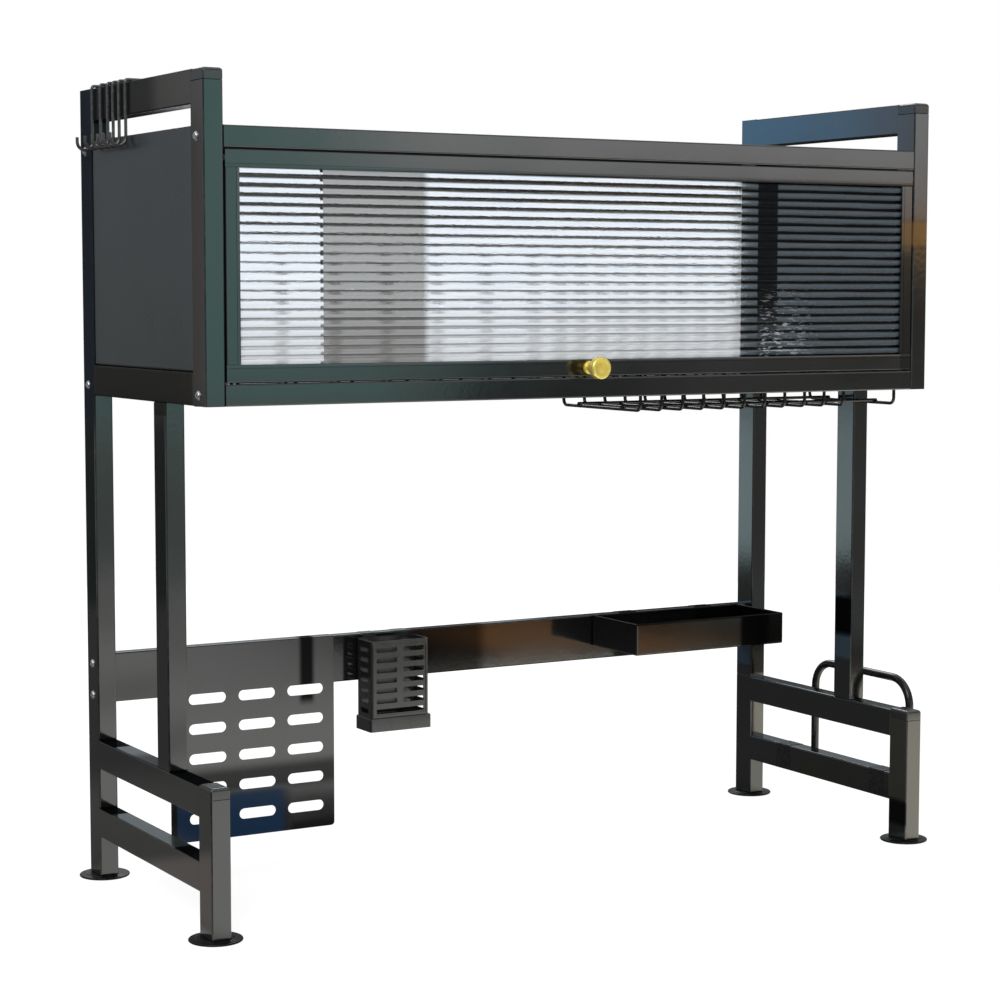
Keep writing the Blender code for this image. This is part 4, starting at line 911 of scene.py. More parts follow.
def nugget(shape, place, direction, radius):
    """The swollen skin of paint over a spot weld."""
    direction = Vector(direction)
    path = [Vector(place) + direction * (share * NUGGET_HALF) for share in (-1, -0.6, -0.2, 0.2, 0.6, 1)]
    sweep(shape, path, radius, NUGGET_SIDES, lambda share: 1 + NUGGET_SHARE * math.sin(math.pi * share))


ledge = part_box("front_bottom_rail")[1].z
front_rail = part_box("front_bottom_rail")
door_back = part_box("door_bottom_rail")[1].y
bowls = [LAST_BOWL - BOWL_PITCH * i for i in reversed(range(BOWL_HOOPS))]
plates = [FIRST_PLATE + PLATE_PITCH * i for i in range(PLATE_HOOPS)]
plates.append(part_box("plate_rack")[1].x - OVERHANG - HOOP_RADIUS)
for node, places in (("bowl_rack", bowls), ("plate_rack", plates)):
    low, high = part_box(node)
    floor_z = low.z + HOOP_RADIUS
    top_z = high.z - HOOP_RADIUS
    rail_z = ledge + SEAM + RAIL_WIRE_RADIUS
    hang_z = rail_z + RAIL_WIRE_RADIUS + HOOP_RADIUS - WIRE_LAP
    front_wire = door_back + DOOR_PLAY + RAIL_WIRE_RADIUS
    rear_wire = high.y - RAIL_WIRE_RADIUS
    drop_y = front_rail[1].y + SEAM + HOOP_RADIUS
    divide_y = front_rail[0].y + DIVIDER_SETBACK
    wires = bmesh.new()
    lower_z = floor_z + 2 * HOOP_RADIUS - WIRE_LAP
    floor_runs = [drop_y + (divide_y - drop_y) * share for share in FLOOR_SHARES]
    for x in places:
        hook = bent([(x, front_wire, hang_z), (x, drop_y, hang_z), (x, drop_y, floor_z)], HOOK_BEND)
        rest = bent([(x, drop_y, hang_z), (x, drop_y, floor_z), (x, divide_y, floor_z),
                     (x, divide_y, top_z), (x, divide_y + DIVIDER_GAP, top_z),
                     (x, divide_y + DIVIDER_GAP, hang_z), (x, rear_wire + RAIL_WIRE_RADIUS, hang_z)],
                    HOOP_BEND)
        sweep(wires, hook[:-1] + rest[1:], HOOP_RADIUS, WIRE_SIDES)
        for y in floor_runs:
            nugget(wires, (x, y, floor_z + NUGGET_RISE), (0, 1, 0), HOOP_RADIUS)
        nugget(wires, (x, rear_wire, hang_z - NUGGET_RISE), (0, 1, 0), HOOP_RADIUS)
    for y, z, radius in ([(front_wire, rail_z, RAIL_WIRE_RADIUS), (rear_wire, rail_z, RAIL_WIRE_RADIUS)]
                         + [(y, lower_z, HOOP_RADIUS) for y in floor_runs]):
        start, end = Vector((low.x + WIRE_END, y, z)), Vector((high.x - WIRE_END, y, z))
        path = [start.lerp(end, i / LONG_WIRE_STEPS) for i in range(LONG_WIRE_STEPS + 1)]
        sweep(wires, path, radius, WIRE_SIDES)
    dress(node + "_wires", wires, epoxy, node, (node,), sharp=60)


# Door frame. Four lengths of black anodised aluminium profile, with eased corners, a glazing groove in the
# inner edge and a fine shadow line where the glazing is rolled in. The rails run through, the stiles butt.

DOOR_EASE = 0.0008
SHADOW_LINE = 0.0032
SHADOW_WIDTH = 0.0005
SHADOW_DEPTH = 0.0004
GROOVE_DEPTH = 0.0045
GROOVE_FRONT = 0.0027
GROOVE_BACK = 0.0073
RIGHT_STILE = (0.3895, 0.410, 0.0006)
BUTT_SHARE = 0.6
EASE_STEPS = 4
SCREW_HOLE = 0.00215
SCREW_SINK = 0.0038

# The right stile carries a painted copper reflection, and below it a painted dark reflection.
anodised = black_paint(
    "black_anodised", "door_frame", (0.0105, 0.0110, 0.0112), 0.11, 0.015, worn=0.25,
    reflections_and_shade=(patch((0.25, 0.135, 0.040), 0.50, X=RIGHT_STILE, Z=(0.657, 0.686, 0.005)),
             patch((0.022, 0.022, 0.020), 0.60, X=RIGHT_STILE, Z=(0.520, 0.650, 0.008))))


def door_bar(shape, low, high, axis, inner):
    """The profile along one bar. Inner is +1 or -1, the side that holds the panel."""
    across = "Z" if axis == "X" else "X"
    run, side = "XYZ".index(axis), "XYZ".index(across)
    near, far = (low[side], high[side]) if inner > 0 else (high[side], low[side])
    wide = abs(far - near)
    deep = high.y - low.y
    eased = [math.pi / 2 * step / EASE_STEPS for step in range(EASE_STEPS + 1)]
    outline = [(DOOR_EASE - DOOR_EASE * math.sin(t), DOOR_EASE - DOOR_EASE * math.cos(t))
               for t in reversed(eased)]
    line = wide - SHADOW_LINE
    front = [(line - SHADOW_WIDTH, 0), (line - SHADOW_WIDTH * 0.7, SHADOW_DEPTH),
             (line - SHADOW_WIDTH * 0.3, SHADOW_DEPTH), (line, 0)]
    nose = [(wide - DOOR_EASE / 2, 0), (wide - DOOR_EASE / 6, DOOR_EASE / 6), (wide, DOOR_EASE / 2)]
    channel = [(wide, GROOVE_FRONT), (wide - GROOVE_DEPTH, GROOVE_FRONT),
               (wide - GROOVE_DEPTH, GROOVE_BACK), (wide, GROOVE_BACK)]
    rear = [(wide, deep - DOOR_EASE / 2), (wide - DOOR_EASE / 2, deep),
            (DOOR_EASE, deep), (0, deep - DOOR_EASE)]
    pairs = outline + front + nose + channel + rear
    rings = []
    for t in (low[run], high[run]):
        ring = []
        for u, v in pairs:
            place = Vector((0, low.y + v, 0))
            place[side] = near + (u if inner > 0 else -u)
            place[run] = t
            ring.append(place)
        rings.append(ring)
    loft(shape, rings)


knob_low, knob_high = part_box("door_knob")
screw_low, screw_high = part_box("knob_screw")
knob_x = (knob_low.x + knob_high.x) / 2
knob_z = (knob_low.z + knob_high.z) / 2
for node, axis, inner in (("door_bottom_rail", "X", 1), ("door_top_rail", "X", -1),
                          ("door_left_stile", "Z", 1), ("door_right_stile", "Z", -1)):
    low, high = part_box(node)
    if axis == "Z":
        low.z -= SEAM * BUTT_SHARE
        high.z += SEAM * BUTT_SHARE
    bar = bmesh.new()
    door_bar(bar, low, high, axis, inner)
    tool = None
    if node == "door_bottom_rail":
        tool = bmesh.new()
        turned(tool, [(SCREW_HOLE, -0.008), (SCREW_HOLE, 0.0145)], (knob_x, low.y, knob_z), "Y", 32)
        turned(tool, [(SCREW_SINK, 0.0095), (SCREW_SINK, 0.0160)], (knob_x, low.y, knob_z), "Y", 32)
    dress(node + "_profile", bar, anodised, "door", (node,), sharp=28, cutter=tool)


# Reeded panel. A clear acrylic sheet with twenty-one half-round reeds rolled into its front, which smear
# what is behind into level streaks. The back is smooth, with faint draw lines from the rollers.

REED_COUNT = 21
REED_STEPS = 14
REED_RISE = 0.0014
DRAW_LINES = (14.0, 1.0, 420.0)
RIPPLES = (95.0, 1.0, 420.0)
# A warm grey band with a fine dark edge is painted into the clear part: a painted view of the room behind
# it, in the base colour and in the white cover low down.
WALL_EDGE = -0.3028
WALL_END = -0.1875
WALL_TINT = (0.192, 0.175, 0.151)
WALL_HAZE = (0.310, 0.305, 0.295)
# Painted shade: a dark line in the valley between each two reeds.
GROOVE_SHADE = (0.07, 0.08, 0.10)
# Right of here the panel is painted to stand for the dark inside of the cabinet seen through it: a painted
# slate blue, a painted black strip for a post, thicker painted grooves of shade and a few painted glints low
# down.
DARK_START = 0.1775
POST_START = 0.1997
POST_END = 0.2256
GLINT_TOP = 0.625
GLINT_END = 0.290
PANEL_SLATE = (0.145, 0.180, 0.205)
PANEL_SHADE_BLACK = (0.003, 0.003, 0.004)
GLINT = (0.70, 0.75, 0.80)
# Low down the light part is covered more and more with a dull white, which hides most of the wires behind
# it.
WHITE_COVER_TOP = 0.640
COVER_WHITE = (0.96, 0.98, 1.0)
EDGE = 0.0006

low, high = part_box("reeded_panel")
sight_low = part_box("door_bottom_rail")[1].z
sight_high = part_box("door_top_rail")[0].z
pitch = (sight_high - sight_low) / REED_COUNT
root = low.y + REED_RISE
outline = [(high.y, high.z), (high.y, low.z), (root, low.z)]
for reed in range(REED_COUNT):
    for step in range(REED_STEPS):
        share = step / REED_STEPS
        outline.append((root - REED_RISE * math.sin(math.pi * share), sight_low + pitch * (reed + share)))
outline += [(root, sight_high), (root, high.z)]
glazing = bmesh.new()
loft(glazing, [[Vector((x, y, z)) for y, z in outline] for x in (low.x, high.x)])
acrylic = Paint("reeded_acrylic", "reeded_acrylic", {"Transmission Weight": 1.0, "IOR": 1.49})
place = acrylic.place()
at = acrylic.parts(place)
drawn = acrylic.noise(acrylic.vector("MULTIPLY", place, DRAW_LINES), 1.0, 4.0, 0.6)
streak = acrylic.rise(drawn, 0.30, 0.75)
ripple = acrylic.noise(acrylic.vector("MULTIPLY", place, RIPPLES), 1.0, 4.0, 0.6)
valley = acrylic.math("PINGPONG", (at["Z"] - sight_low) * (1 / pitch), 0.5) + (streak - 0.5) * 0.08
outer = acrylic.rise(at["Y"], high.y - 0.0008, high.y - 0.0014)
shady = acrylic.rise(at["X"], DARK_START, DARK_START + 0.0020)
groove = acrylic.rise(valley, 0.15, 0.03) * outer
hollow = acrylic.rise(valley, 0.30, 0.12) * outer * shady
wall = (acrylic.rise(at["X"], WALL_EDGE - EDGE, WALL_EDGE)
        * acrylic.rise(at["X"], WALL_END, WALL_END - 0.010) * outer)
stroke = (acrylic.rise(at["X"], WALL_EDGE - 0.0038, WALL_EDGE - 0.0028)
          * acrylic.rise(at["X"], WALL_EDGE + EDGE, WALL_EDGE - 0.0004))
tint = acrylic.mix(streak, (0.88, 0.92, 0.94), (0.995, 0.998, 1.0))
# Painted view of the room behind: the warm grey band and its dark edge line.
tint = acrylic.mix(wall, tint, WALL_TINT)
faint = acrylic.rise(at["Z"], sight_low, sight_low + 0.10, 0.50, 0.85)
# Painted shade in the reed valleys, fainter low down.
tint = acrylic.mix(groove * faint, tint, GROOVE_SHADE)
tint = acrylic.mix(stroke * outer * acrylic.rise(valley, 0.40, 0.20), tint, (0.0, 0.0, 0.0))
acrylic.vary({"Base Color": tint,
              "Roughness": 0.03 + streak * 0.04,
              "Normal": acrylic.bump(ripple, 0.32, 0.0006)})
# Painted glints, a painted black strip for the post and painted shade in the grooves, laid over the panel as
# a dull veil.
glints = (acrylic.rise(ripple, 0.54, 0.62) * acrylic.rise(at["Z"], GLINT_TOP, sight_low)
          * acrylic.rise(at["X"], POST_START, POST_START + 0.010)
          * acrylic.rise(at["X"], GLINT_END, POST_END))
post = acrylic.span(at["X"], POST_START, POST_END, EDGE) * acrylic.rise(at["Z"], 0.540, 0.600, 0.4, 1.0)
painted_dark = acrylic.math("MAXIMUM", hollow, post * outer * 0.96)
veil = acrylic.mix(glints, acrylic.mix(painted_dark, PANEL_SLATE, PANEL_SHADE_BLACK), GLINT)
veil = acrylic.mix(shady, acrylic.mix(wall, COVER_WHITE, WALL_HAZE), veil)
white_cover = acrylic.rise(at["Z"], WHITE_COVER_TOP, sight_low, 0.0, 0.60) * (1 - shady) * (1 - groove * 0.55) * outer
acrylic.cover(acrylic.math("MAXIMUM", shady * outer * 0.62 + white_cover, painted_dark * 0.92), acrylic.dull(veil, 0.5))
dress("reeded_sheet", glazing, acrylic, "door", ("reeded_panel",), sharp=40)


# Knob. Turned brass on a machine screw: a round foot on the door, a waisted neck and a mushroom head with a
# polished rim round a dished, slightly tarnished face.

brass = Paint("turned_brass", "brass", {"Metallic": 0.5})
place = brass.place()
blotch = brass.rise(brass.noise(place, 190.0, 4.0, 0.65), 0.36, 0.66)
off = brass.vector("MULTIPLY", brass.vector("SUBTRACT", place, (knob_x, 0.0, knob_z)), (1.0, 0.0, 1.0))
spread = brass.vector("LENGTH", off, output="Value")
dish = brass.rise(spread, 0.0088, 0.0070)
lathe_marks = brass.math("SINE", spread * 9000.0)
brass.vary({"Base Color": brass.mix(dish * (0.35 + blotch * 0.65), (1.0, 0.84, 0.21), (0.95, 0.66, 0.10)),
            "Roughness": 0.24 + blotch * 0.12 + dish * 0.08,
            "Normal": brass.bump(lathe_marks * 0.5 + blotch * 0.6, 0.08, 0.0003)})
length = knob_high.y - knob_low.y
head = (knob_high.x - knob_low.x) / 2
profile = [(0.0004, length - 0.0012), (0.0040, length - 0.0011), (0.0068, length - 0.0006)]
profile += [(0.0078, length - 0.0001), (0.0086, length)]
profile += arc((head - 0.0022, length - 0.0022), 0.0022, 80, 0, 8)
profile += arc((head - 0.0024, length - 0.0066), 0.0024, 0, -62, 8)
profile += [(0.0062, length - 0.0098), (0.0050, length - 0.0113), (0.0044, length - 0.0132)]
profile += [(0.0042, length - 0.0155), (0.0044, 0.0052), (0.0050, 0.0038), (0.0060, 0.0029)]
profile += arc((0.0061, 0.0019), 0.0007, 80, 0, 4)
profile += [(0.0068, 0.0), (SCREW_HOLE, 0.0), (SCREW_HOLE, 0.0096), (0.0004, 0.0102)]
spindle = bmesh.new()
turned(spindle, [(radius, -height) for radius, height in profile], (knob_x, knob_high.y, knob_z), "Y", 72)
dress("knob_turning", spindle, brass, "door", ("door_knob",), sharp=50)
shank = bmesh.new()
profile = [(0.0009, 0.0009), (0.0010, 0.0), (0.0028, 0.0001), (0.0034, 0.0006), (0.0035, 0.0021)]
profile += [(0.0020, 0.0022), (0.0020, screw_high.y - screw_low.y)]
turned(shank, [(radius, -height) for radius, height in profile], (knob_x, screw_high.y, knob_z), "Y", 32)
dress("knob_fixing", shank, zinc, "door", ("knob_screw",), sharp=40)


# Pivots and catch. Nylon pins with a thin collar turn in the front posts. A small block with a magnet stands
# behind the door's bottom rail, between the two racks.

nylon = Paint("pivot_nylon", "pivot_nylon", {"Specular IOR Level": 0.5})
place = nylon.place()
cloudy = nylon.rise(nylon.noise(place, 700.0, 3.0), 0.35, 0.70)
nylon.vary({"Base Color": nylon.mix(cloudy, (0.030, 0.030, 0.029), (0.050, 0.050, 0.048)),
            "Roughness": 0.38 + cloudy * 0.14,
            "Normal": nylon.bump(cloudy, 0.08, 0.0002)})
keep(nylon, "left_door_pivot", "right_door_pivot")
CATCH_CORNER = 0.0012
CATCH_BEVEL = CUT_EDGE * 3
PLATE_WIDTH = 0.0150
PLATE_HEIGHT = 0.0050
PLATE_CORNER = 0.0008
low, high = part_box("door_catch")
catch = bmesh.new()
middle = (low + high) / 2
size = high - low
levels = [(CATCH_BEVEL, low.z), (0, low.z + CATCH_BEVEL), (0, high.z - CATCH_BEVEL), (CATCH_BEVEL, high.z)]
loft(catch, [[Vector((middle.x + u, middle.y + v, z)) for u, v in
              rounded_ring(size.x - 2 * inset, size.y - 2 * inset, CATCH_CORNER)] for inset, z in levels])
dress("catch_block", catch, plastic, "frame", ("door_catch",))
plate = bmesh.new()
loft(plate, [[Vector((middle.x + u, low.y - out, middle.z + v)) for u, v in
              rounded_ring(PLATE_WIDTH - 2 * inset, PLATE_HEIGHT - 2 * inset, PLATE_CORNER)]
             for inset, out in ((0, -0.0004), (0, 0.00005), (0.0002, 0.00012))])
dress("catch_magnet", plate, zinc, "frame")


# Perforated board. Painted sheet, 1.2 mm, punched with round-ended slots and folded over the crossbar, with
# its two lower corners rounded off.

BOARD_SHEET = 0.0012
BOARD_CORNER = 0.0042
BOARD_FOLD = 0.0014
BOARD_LIP = 0.018
OVERCUT = 0.002
SLOT_LENGTH = 0.043
SLOT_HEIGHT = 0.0115
SLOT_COLUMNS = 3
SLOT_ROWS = 5
COLUMN_PITCH = 0.0573
ROW_PITCH = 0.0322
FIRST_ROW = 0.024
SLOT_SHIFT = 0.004
PUNCH_STEPS = 10

# Painted reflections and painted shade on the board: dark bands and a narrow dark strip, and a painted blue
# reflection low on the left.
board_paint = black_paint(
    "satin_black_board", "painted_sheet", (0.0300, 0.0300, 0.0295), 0.15, 0.03, worn=0.0,
    reflections_and_shade=(
        patch((0.006, 0.006, 0.006), 0.70, X=(-0.400, -0.100, 0.001), Z=(0.074, 0.100, 0.007)),
        patch((0.017, 0.050, 0.115), 0.85, X=(-0.400, -0.209, 0.012), Z=(0.000, 0.074, 0.006)),
        patch((0.004, 0.004, 0.004), 0.65, X=(-0.205, -0.100, 0.008), Z=(0.000, 0.034, 0.006)),
        patch((0.003, 0.003, 0.003), 0.80, X=(-0.400, -0.336, 0.001), Z=(0.000, 0.080, 0.004)),
        patch((0.002, 0.002, 0.002), 0.92, X=(-0.1920, -0.1755, 0.0035), Z=(0.164, 0.300, 0.006))))


def strip(shape, line, low_x, high_x, thick):
    """A folded strip of sheet: a line of (y, z) points thickened to one side and carried along X."""
    points = [Vector((0, y, z)) for y, z in line]
    outer = []
    for i, point in enumerate(points):
        ahead = (points[min(i + 1, len(points) - 1)] - point).normalized()
        behind = (point - points[max(i - 1, 0)]).normalized()
        if i == 0:
            behind = ahead
        if i == len(points) - 1:
            ahead = behind
        normal = ((ahead + behind) / 2).cross(Vector((1, 0, 0)))
        outer.append(point + normal.normalized() * thick / max(normal.length, 0.5))
    ring = points + outer[::-1]
    ease = min(thick / 4, 0.0003)
    middle = [(a + b) / 2 for a, b in zip(points, outer)]
    small = middle + middle[::-1]
    inset = [p.lerp(m, ease / (thick / 2)) for p, m in zip(ring, small)]
    loft(shape, [[Vector((x, p.y, p.z)) for p in loop] for loop, x in
                 ((inset, low_x), (ring, low_x + ease), (ring, high_x - ease), (inset, high_x))])


def over_bar(front, bottom, lip, fold):
    """Up the front of the crossbar, over its top and down its back, as (y, z) points."""
    top, back = bar_high.z + SEAM, bar_high.y + SEAM
    corners = [(0, front, bottom), (0, front, top), (0, back, top), (0, back, lip)]
    return [(p.y, p.z) for p in bent(corners, fold, 5)]


low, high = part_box("perforated_board")
board = bmesh.new()
fold = over_bar(bar_low.y - SEAM, low.z, bar_high.z - BOARD_LIP, BOARD_FOLD)
strip(board, fold, low.x, high.x, BOARD_SHEET)
punch = bmesh.new()
centre = (low.x + high.x) / 2 + SLOT_SHIFT
reach = SLOT_LENGTH / 2 - SLOT_HEIGHT / 2
slot = [(reach + u, v) for u, v in arc((0, 0), SLOT_HEIGHT / 2, -90, 90, PUNCH_STEPS)]
slot += [(-reach + u, v) for u, v in arc((0, 0), SLOT_HEIGHT / 2, 90, 270, PUNCH_STEPS)]
for column in range(SLOT_COLUMNS):
    x = centre + (column - (SLOT_COLUMNS - 1) / 2) * COLUMN_PITCH
    for row in range(SLOT_ROWS):
        z = low.z + FIRST_ROW + row * ROW_PITCH
        loft(punch, [[Vector((x + u, y, z + v)) for u, v in slot] for y in (low.y - 0.003, low.y + 0.006)])
for x, turn in ((low.x, 1), (high.x, -1)):
    outside, round_x = x - turn * OVERCUT, x + turn * BOARD_CORNER
    nick = [(outside, low.z - OVERCUT), (round_x, low.z - OVERCUT), (round_x, low.z)]
    nick += [(x + turn * (BOARD_CORNER + u), low.z + BOARD_CORNER + v)
             for u, v in arc((0, 0), BOARD_CORNER, 270, 180, 8)]
    nick += [(outside, low.z + BOARD_CORNER)]
    loft(punch, [[Vector((u, y, v)) for u, v in nick] for y in (low.y - 0.003, low.y + 0.006)])
dress("punched_board", board, board_paint, "perforated_board", ("perforated_board",), cutter=punch)


# Cutlery basket. Moulded black plastic with a band of slots on three sides, a raised border round the front
# slots, a plinth with two mould seams, drain holes in its floor, and two hooks over the crossbar.

BASKET_WALL = 0.0016
BASKET_TOP = 0.2295
PLINTH_HEIGHT = 0.015
PLINTH_FLARE = 0.0022
BASKET_SLOT = 0.0052
BASKET_PITCH = 0.0112
BASKET_ROWS = 6
BASKET_DROP = 0.010
FRONT_SLOT = 0.025
FRONT_BRIDGE = 0.008
SIDE_SLOT = 0.019
DRAINS = 4
DRAIN = 0.005
SLOT_CORNER = 0.0012
CUT_OUT = 0.004
CUT_IN = 0.0045
RIDGE = 0.0022
RIDGE_MARGIN = 1.6 * RIDGE
MOULD_SEAM_X = 0.0115
MOULD_SEAM = 0.0004
TAB_SHARE = 0.28
TAB_HALF = 0.008
TAB_FOLD = 0.0013
HOOK_SHEET = 0.0016
HOOK_LIP = 0.016
HOOK_ROOT = 0.020


def block(shape, low, high, radius, axis):
    """A block with its edges along one axis rounded."""
    point = along(axis)
    run = "XYZ".index(axis)
    sides = [i for i in range(3) if i != run]
    middle = [(high[i] + low[i]) / 2 for i in sides]
    pairs = rounded_ring(high[sides[0]] - low[sides[0]], high[sides[1]] - low[sides[1]], radius, 3)
    loft(shape, [[point(middle[0] + u, middle[1] + v, t) for u, v in pairs] for t in (low[run], high[run])])


low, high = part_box("cutlery_basket")
hook_y = bar_low.y - SEAM - HOOK_SHEET
flare = PLINTH_FLARE
body_low = Vector((low.x + flare, low.y + flare, low.z))
body_high = Vector((high.x - flare, hook_y + 0.0009, BASKET_TOP))
x = (low.x + high.x) / 2
half = (body_high.x - body_low.x) / 2
basket = bmesh.new()
pan(basket, body_low, body_high, "+Z", fold=0.0026, corner=0.0030, sheet=BASKET_WALL)
slots = bmesh.new()
levels = [body_high.z - BASKET_DROP - BASKET_PITCH * row for row in range(BASKET_ROWS + 1)]
offset = (FRONT_SLOT + FRONT_BRIDGE) / 2
tall = BASKET_SLOT / 2
slot_reach = offset + FRONT_SLOT / 2
bridge = FRONT_BRIDGE / 2
middle_y = (body_low.y + body_high.y) / 2
slot_front, slot_rear = middle_y - SIDE_SLOT / 2, middle_y + SIDE_SLOT / 2
for row, z in enumerate(levels):
    spans = [(-slot_reach, -bridge), (bridge, slot_reach)]
    if row == BASKET_ROWS:
        spans = [(-slot_reach, slot_reach)]
    for start, end in spans:
        block(slots, (x + start, body_low.y - CUT_OUT, z - tall), (x + end, body_low.y + CUT_IN, z + tall),
              SLOT_CORNER, "Y")
    for wall in (body_low.x, body_high.x):
        block(slots, (wall - CUT_IN, slot_front, z - tall), (wall + CUT_IN, slot_rear, z + tall),
              SLOT_CORNER, "X")
for drain in range(DRAINS):
    centre = x + 2 * half * ((drain + 0.5) / DRAINS - 0.5)
    block(slots, (centre - DRAIN / 2, slot_front, low.z - CUT_OUT),
          (centre + DRAIN / 2, slot_rear, low.z + CUT_IN), SLOT_CORNER, "Z")
dress("basket_shell", basket, plastic, "cutlery_basket", ("cutlery_basket",), cutter=slots)
trim = bmesh.new()
skirt = [(0, 0), (0, PLINTH_HEIGHT - 0.0012), (0.0006, PLINTH_HEIGHT - 0.0003), (0.0022, PLINTH_HEIGHT)]
skirt += [(0.0022 + 0.0004, PLINTH_HEIGHT - 0.0010), (0.0022 + 0.0004, 0)]
plinth_y = (low.y + body_high.y) / 2
rings = []
for inset, height in skirt:
    pairs = rounded_ring(high.x - low.x - 2 * inset, body_high.y - low.y - 2 * inset, 0.0030)
    rings.append([Vector((x + u, plinth_y + v, low.z + height)) for u, v in pairs])
loft(trim, rings, looped=True)
left, right = -slot_reach - 2 * RIDGE, slot_reach + 2 * RIDGE
under, over = levels[-1] - tall - RIDGE_MARGIN, levels[0] + tall + RIDGE_MARGIN
for start_x, start_z, end_x, end_z in (
        (left, under, left + RIDGE, over), (right - RIDGE, under, right, over),
        (left + RIDGE, over - RIDGE, right - RIDGE, over),
        (left + RIDGE, under, right - RIDGE, under + RIDGE)):
    ridge = rounded_ring(end_x - start_x, end_z - start_z, 0.0004, 3)
    middle_x, middle_z = x + (start_x + end_x) / 2, (start_z + end_z) / 2
    loft(trim, [[Vector((middle_x + u * s, body_low.y - out, middle_z + v * s)) for u, v in ridge]
                for s, out in ((1, -0.0004), (1, 0.0005), (0.96, 0.0008))])
for seam_x in (x - MOULD_SEAM_X, x + MOULD_SEAM_X):
    block(trim, (seam_x - MOULD_SEAM, low.y - 0.0003, low.z + 0.0008),
          (seam_x + MOULD_SEAM, low.y + 0.001, low.z + 0.0138), MOULD_SEAM / 2, "Z")
tab = over_bar(bar_low.y - SEAM, bar_high.z - HOOK_ROOT, bar_high.z - HOOK_LIP, TAB_FOLD)
for tab_x in (x - 2 * half * TAB_SHARE, x + 2 * half * TAB_SHARE):
    strip(trim, tab, tab_x - TAB_HALF, tab_x + TAB_HALF, HOOK_SHEET)
dress("basket_trim", trim, plastic, "cutlery_basket", sharp=40)


# Tray. Folded and seam-welded sheet with a rolled lip and two hooks over the crossbar, painted gloss black.

TRAY_HEIGHT = 0.036
TRAY_HEM = 0.0013
TRAY_TAB_SHARE = 0.26
TRAY_TAB_HALF = 0.012

# Painted shade: the right end of the tray and the top of its rolled lip are painted near black.
tray_paint = black_paint(
    "gloss_black_tray", "painted_sheet", (0.0085, 0.0085, 0.0088), 0.10, 0.03, worn=0.0,
    reflections_and_shade=(patch((0.002, 0.002, 0.002), 0.85, X=(0.328, 0.420, 0.003)),
             patch((0.003, 0.003, 0.003), 0.85, Z=(0.2325, 0.2400, 0.0006))))
low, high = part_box("tray")
shell = bmesh.new()
pan(shell, Vector((low.x, low.y, bar_high.z - TRAY_HEIGHT)),
    Vector((high.x, hook_y + 0.0009, bar_high.z)), "+Z", fold=0.0020, corner=0.0030, hem=TRAY_HEM)
x = (low.x + high.x) / 2
reach = (high.x - low.x) * TRAY_TAB_SHARE
for tab_x in (x - reach, x + reach):
    strip(shell, tab, tab_x - TRAY_TAB_HALF, tab_x + TRAY_TAB_HALF, HOOK_SHEET)
dress("tray_sheet", shell, tray_paint, "tray", ("tray",), sharp=40)


# Board holder. A 9 mm rod bent into an arch and welded to two straps that fold over the lower base rail. All
# of it is under the same black epoxy as the racks.

ROD_RADIUS = 0.0045
ROD_SIDES = 20
STRAP_WIDTH = 0.024
STRAP = 0.002
STRAP_DROP = 0.027
STRAP_FOLD = 0.0014
ARM_RISE = 0.006
ROD_WELD = 0.0010
ARCH_BEND = 0.030
HEEL_BEND = 0.009
HOLDER_ENDS_Y = (0.063, -0.1095)

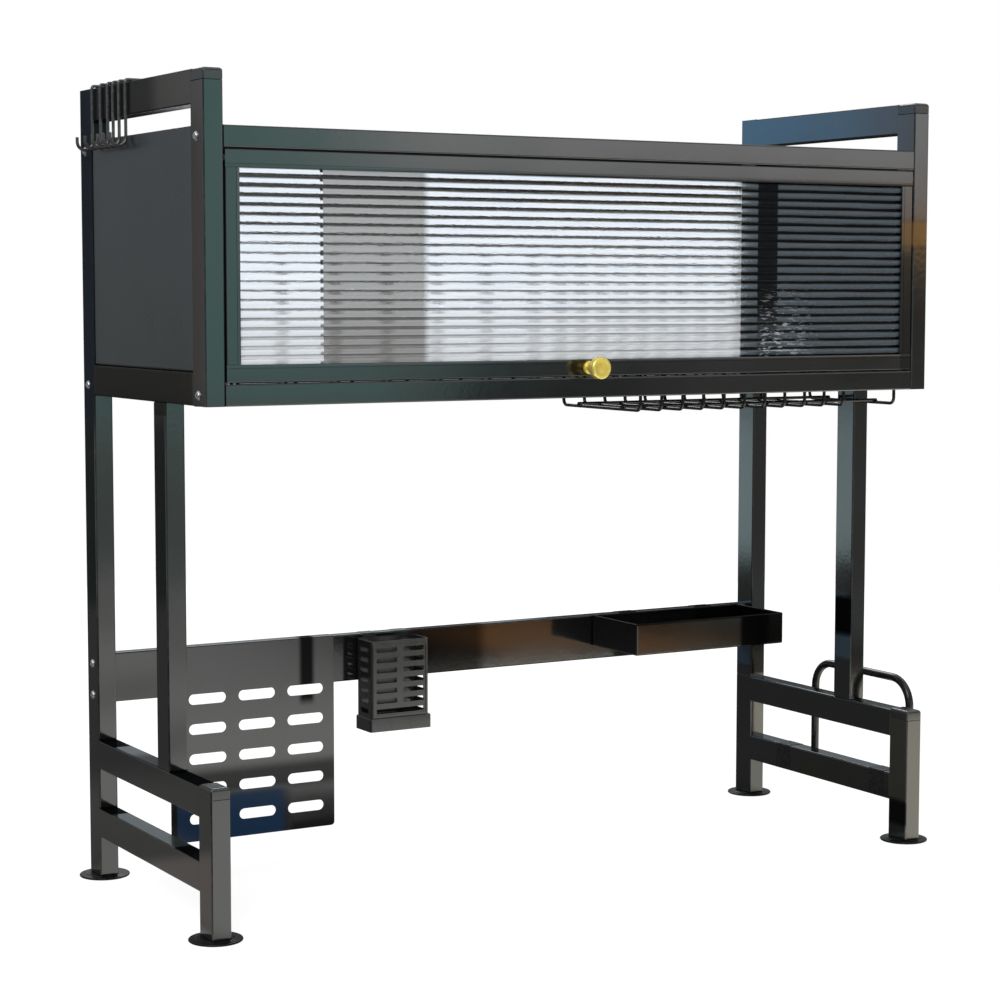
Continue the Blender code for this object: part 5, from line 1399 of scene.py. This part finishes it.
low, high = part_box("board_holder")
rail_low, rail_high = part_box("right_base_lower_rail")
reach = high.x - ROD_RADIUS
arch_z = high.z - ROD_RADIUS
strap_low = rail_high.z - STRAP_DROP
arm_z = strap_low + ARM_RISE
start_x = rail_high.x + SEAM + STRAP - WIRE_LAP
rear_y, front_y = HOLDER_ENDS_Y
corners = [(start_x, rear_y, arm_z), (reach, rear_y, arm_z), (reach, rear_y, arch_z),
           (reach, front_y, arch_z), (reach, front_y, arm_z), (start_x, front_y, arm_z)]
arch = bent(corners[1:5], ARCH_BEND, 12)
path = bent(corners[:3], HEEL_BEND)[:-1] + arch[1:-1] + bent(corners[3:], HEEL_BEND)[1:]
holder = bmesh.new()
sweep(holder, path, ROD_RADIUS, ROD_SIDES)
for y in HOLDER_ENDS_Y:
    line = bent([(0, rail_high.x + SEAM, strap_low), (0, rail_high.x + SEAM, rail_high.z + SEAM),
                 (0, rail_low.x - SEAM, rail_high.z + SEAM), (0, rail_low.x - SEAM, strap_low)],
                STRAP_FOLD, 5)
    strap = bmesh.new()
    strip(strap, [(p.y, p.z) for p in line], -STRAP_WIDTH / 2, STRAP_WIDTH / 2, -STRAP)
    for vert in strap.verts:
        vert.co = Vector((vert.co.y, y + vert.co.x, vert.co.z))
    joined = bpy.data.meshes.new("strap")
    strap.to_mesh(joined)
    strap.free()
    holder.from_mesh(joined)
    weld = [(start_x - 0.0002, y + u, arm_z + v) for u, v in arc((0, 0), ROD_RADIUS + 0.0007, 0, 360, 28)]
    sweep(holder, weld, ROD_WELD, 8, domed=False)
dress("holder_rod", holder, epoxy, "board_holder", ("board_holder",), sharp=50)


# Utensil hooks. Six bright-edged wire hooks straddle the left handle bar: a short leg inside, a long shank
# outside and an open curl that ends in a rounded tip.

HOOK_RADIUS = 0.0016
HOOK_CORNER = 0.0024
CURL_RADIUS = 0.0082
INNER_DROP = 0.020
SHANK_DROP = 0.054
TIP_RISE = 0.004
HOOKS = 6
CURL_STEPS = 18
HOOK_SIDES = 14

hook_wire = Paint("nickel_black_hook", "coated_wire", {"Specular IOR Level": 1.0})
place = hook_wire.place()
worn = hook_wire.rise(hook_wire.noise(place, 240.0, 4.0, 0.6), 0.40, 0.70)
hook_wire.vary({"Base Color": hook_wire.mix(worn, (0.070, 0.070, 0.071), (0.110, 0.110, 0.111)),
                "Roughness": 0.14 + worn * 0.12, "Metallic": 0.35,
                "Normal": hook_wire.bump(hook_wire.noise(place, 500.0, 2.0), 0.08, 0.0003)})
bar_low, bar_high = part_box("left_handle_bar")
for number in range(1, HOOKS + 1):
    node = f"utensil_hook_{number}"
    low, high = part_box(node)
    y = (low.y + high.y) / 2
    inner_x = bar_high.x + SEAM + HOOK_RADIUS
    outer_x = bar_low.x - SEAM - HOOK_RADIUS
    top = bar_high.z + SEAM + HOOK_RADIUS
    turn_z = bar_high.z - SHANK_DROP
    path = bent([(inner_x, y, bar_high.z - INNER_DROP), (inner_x, y, top), (outer_x, y, top),
                 (outer_x, y, turn_z)], HOOK_CORNER)[:-1]
    curl = arc((outer_x - CURL_RADIUS, turn_z), CURL_RADIUS, 0, -180, CURL_STEPS)
    path += [Vector((u, y, v)) for u, v in curl]
    path.append(Vector((outer_x - 2 * CURL_RADIUS, y, turn_z + TIP_RISE)))
    wire = bmesh.new()
    sweep(wire, path, HOOK_RADIUS, HOOK_SIDES)
    dress(node + "_wire", wire, hook_wire, node, (node,), sharp=60)

low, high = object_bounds()
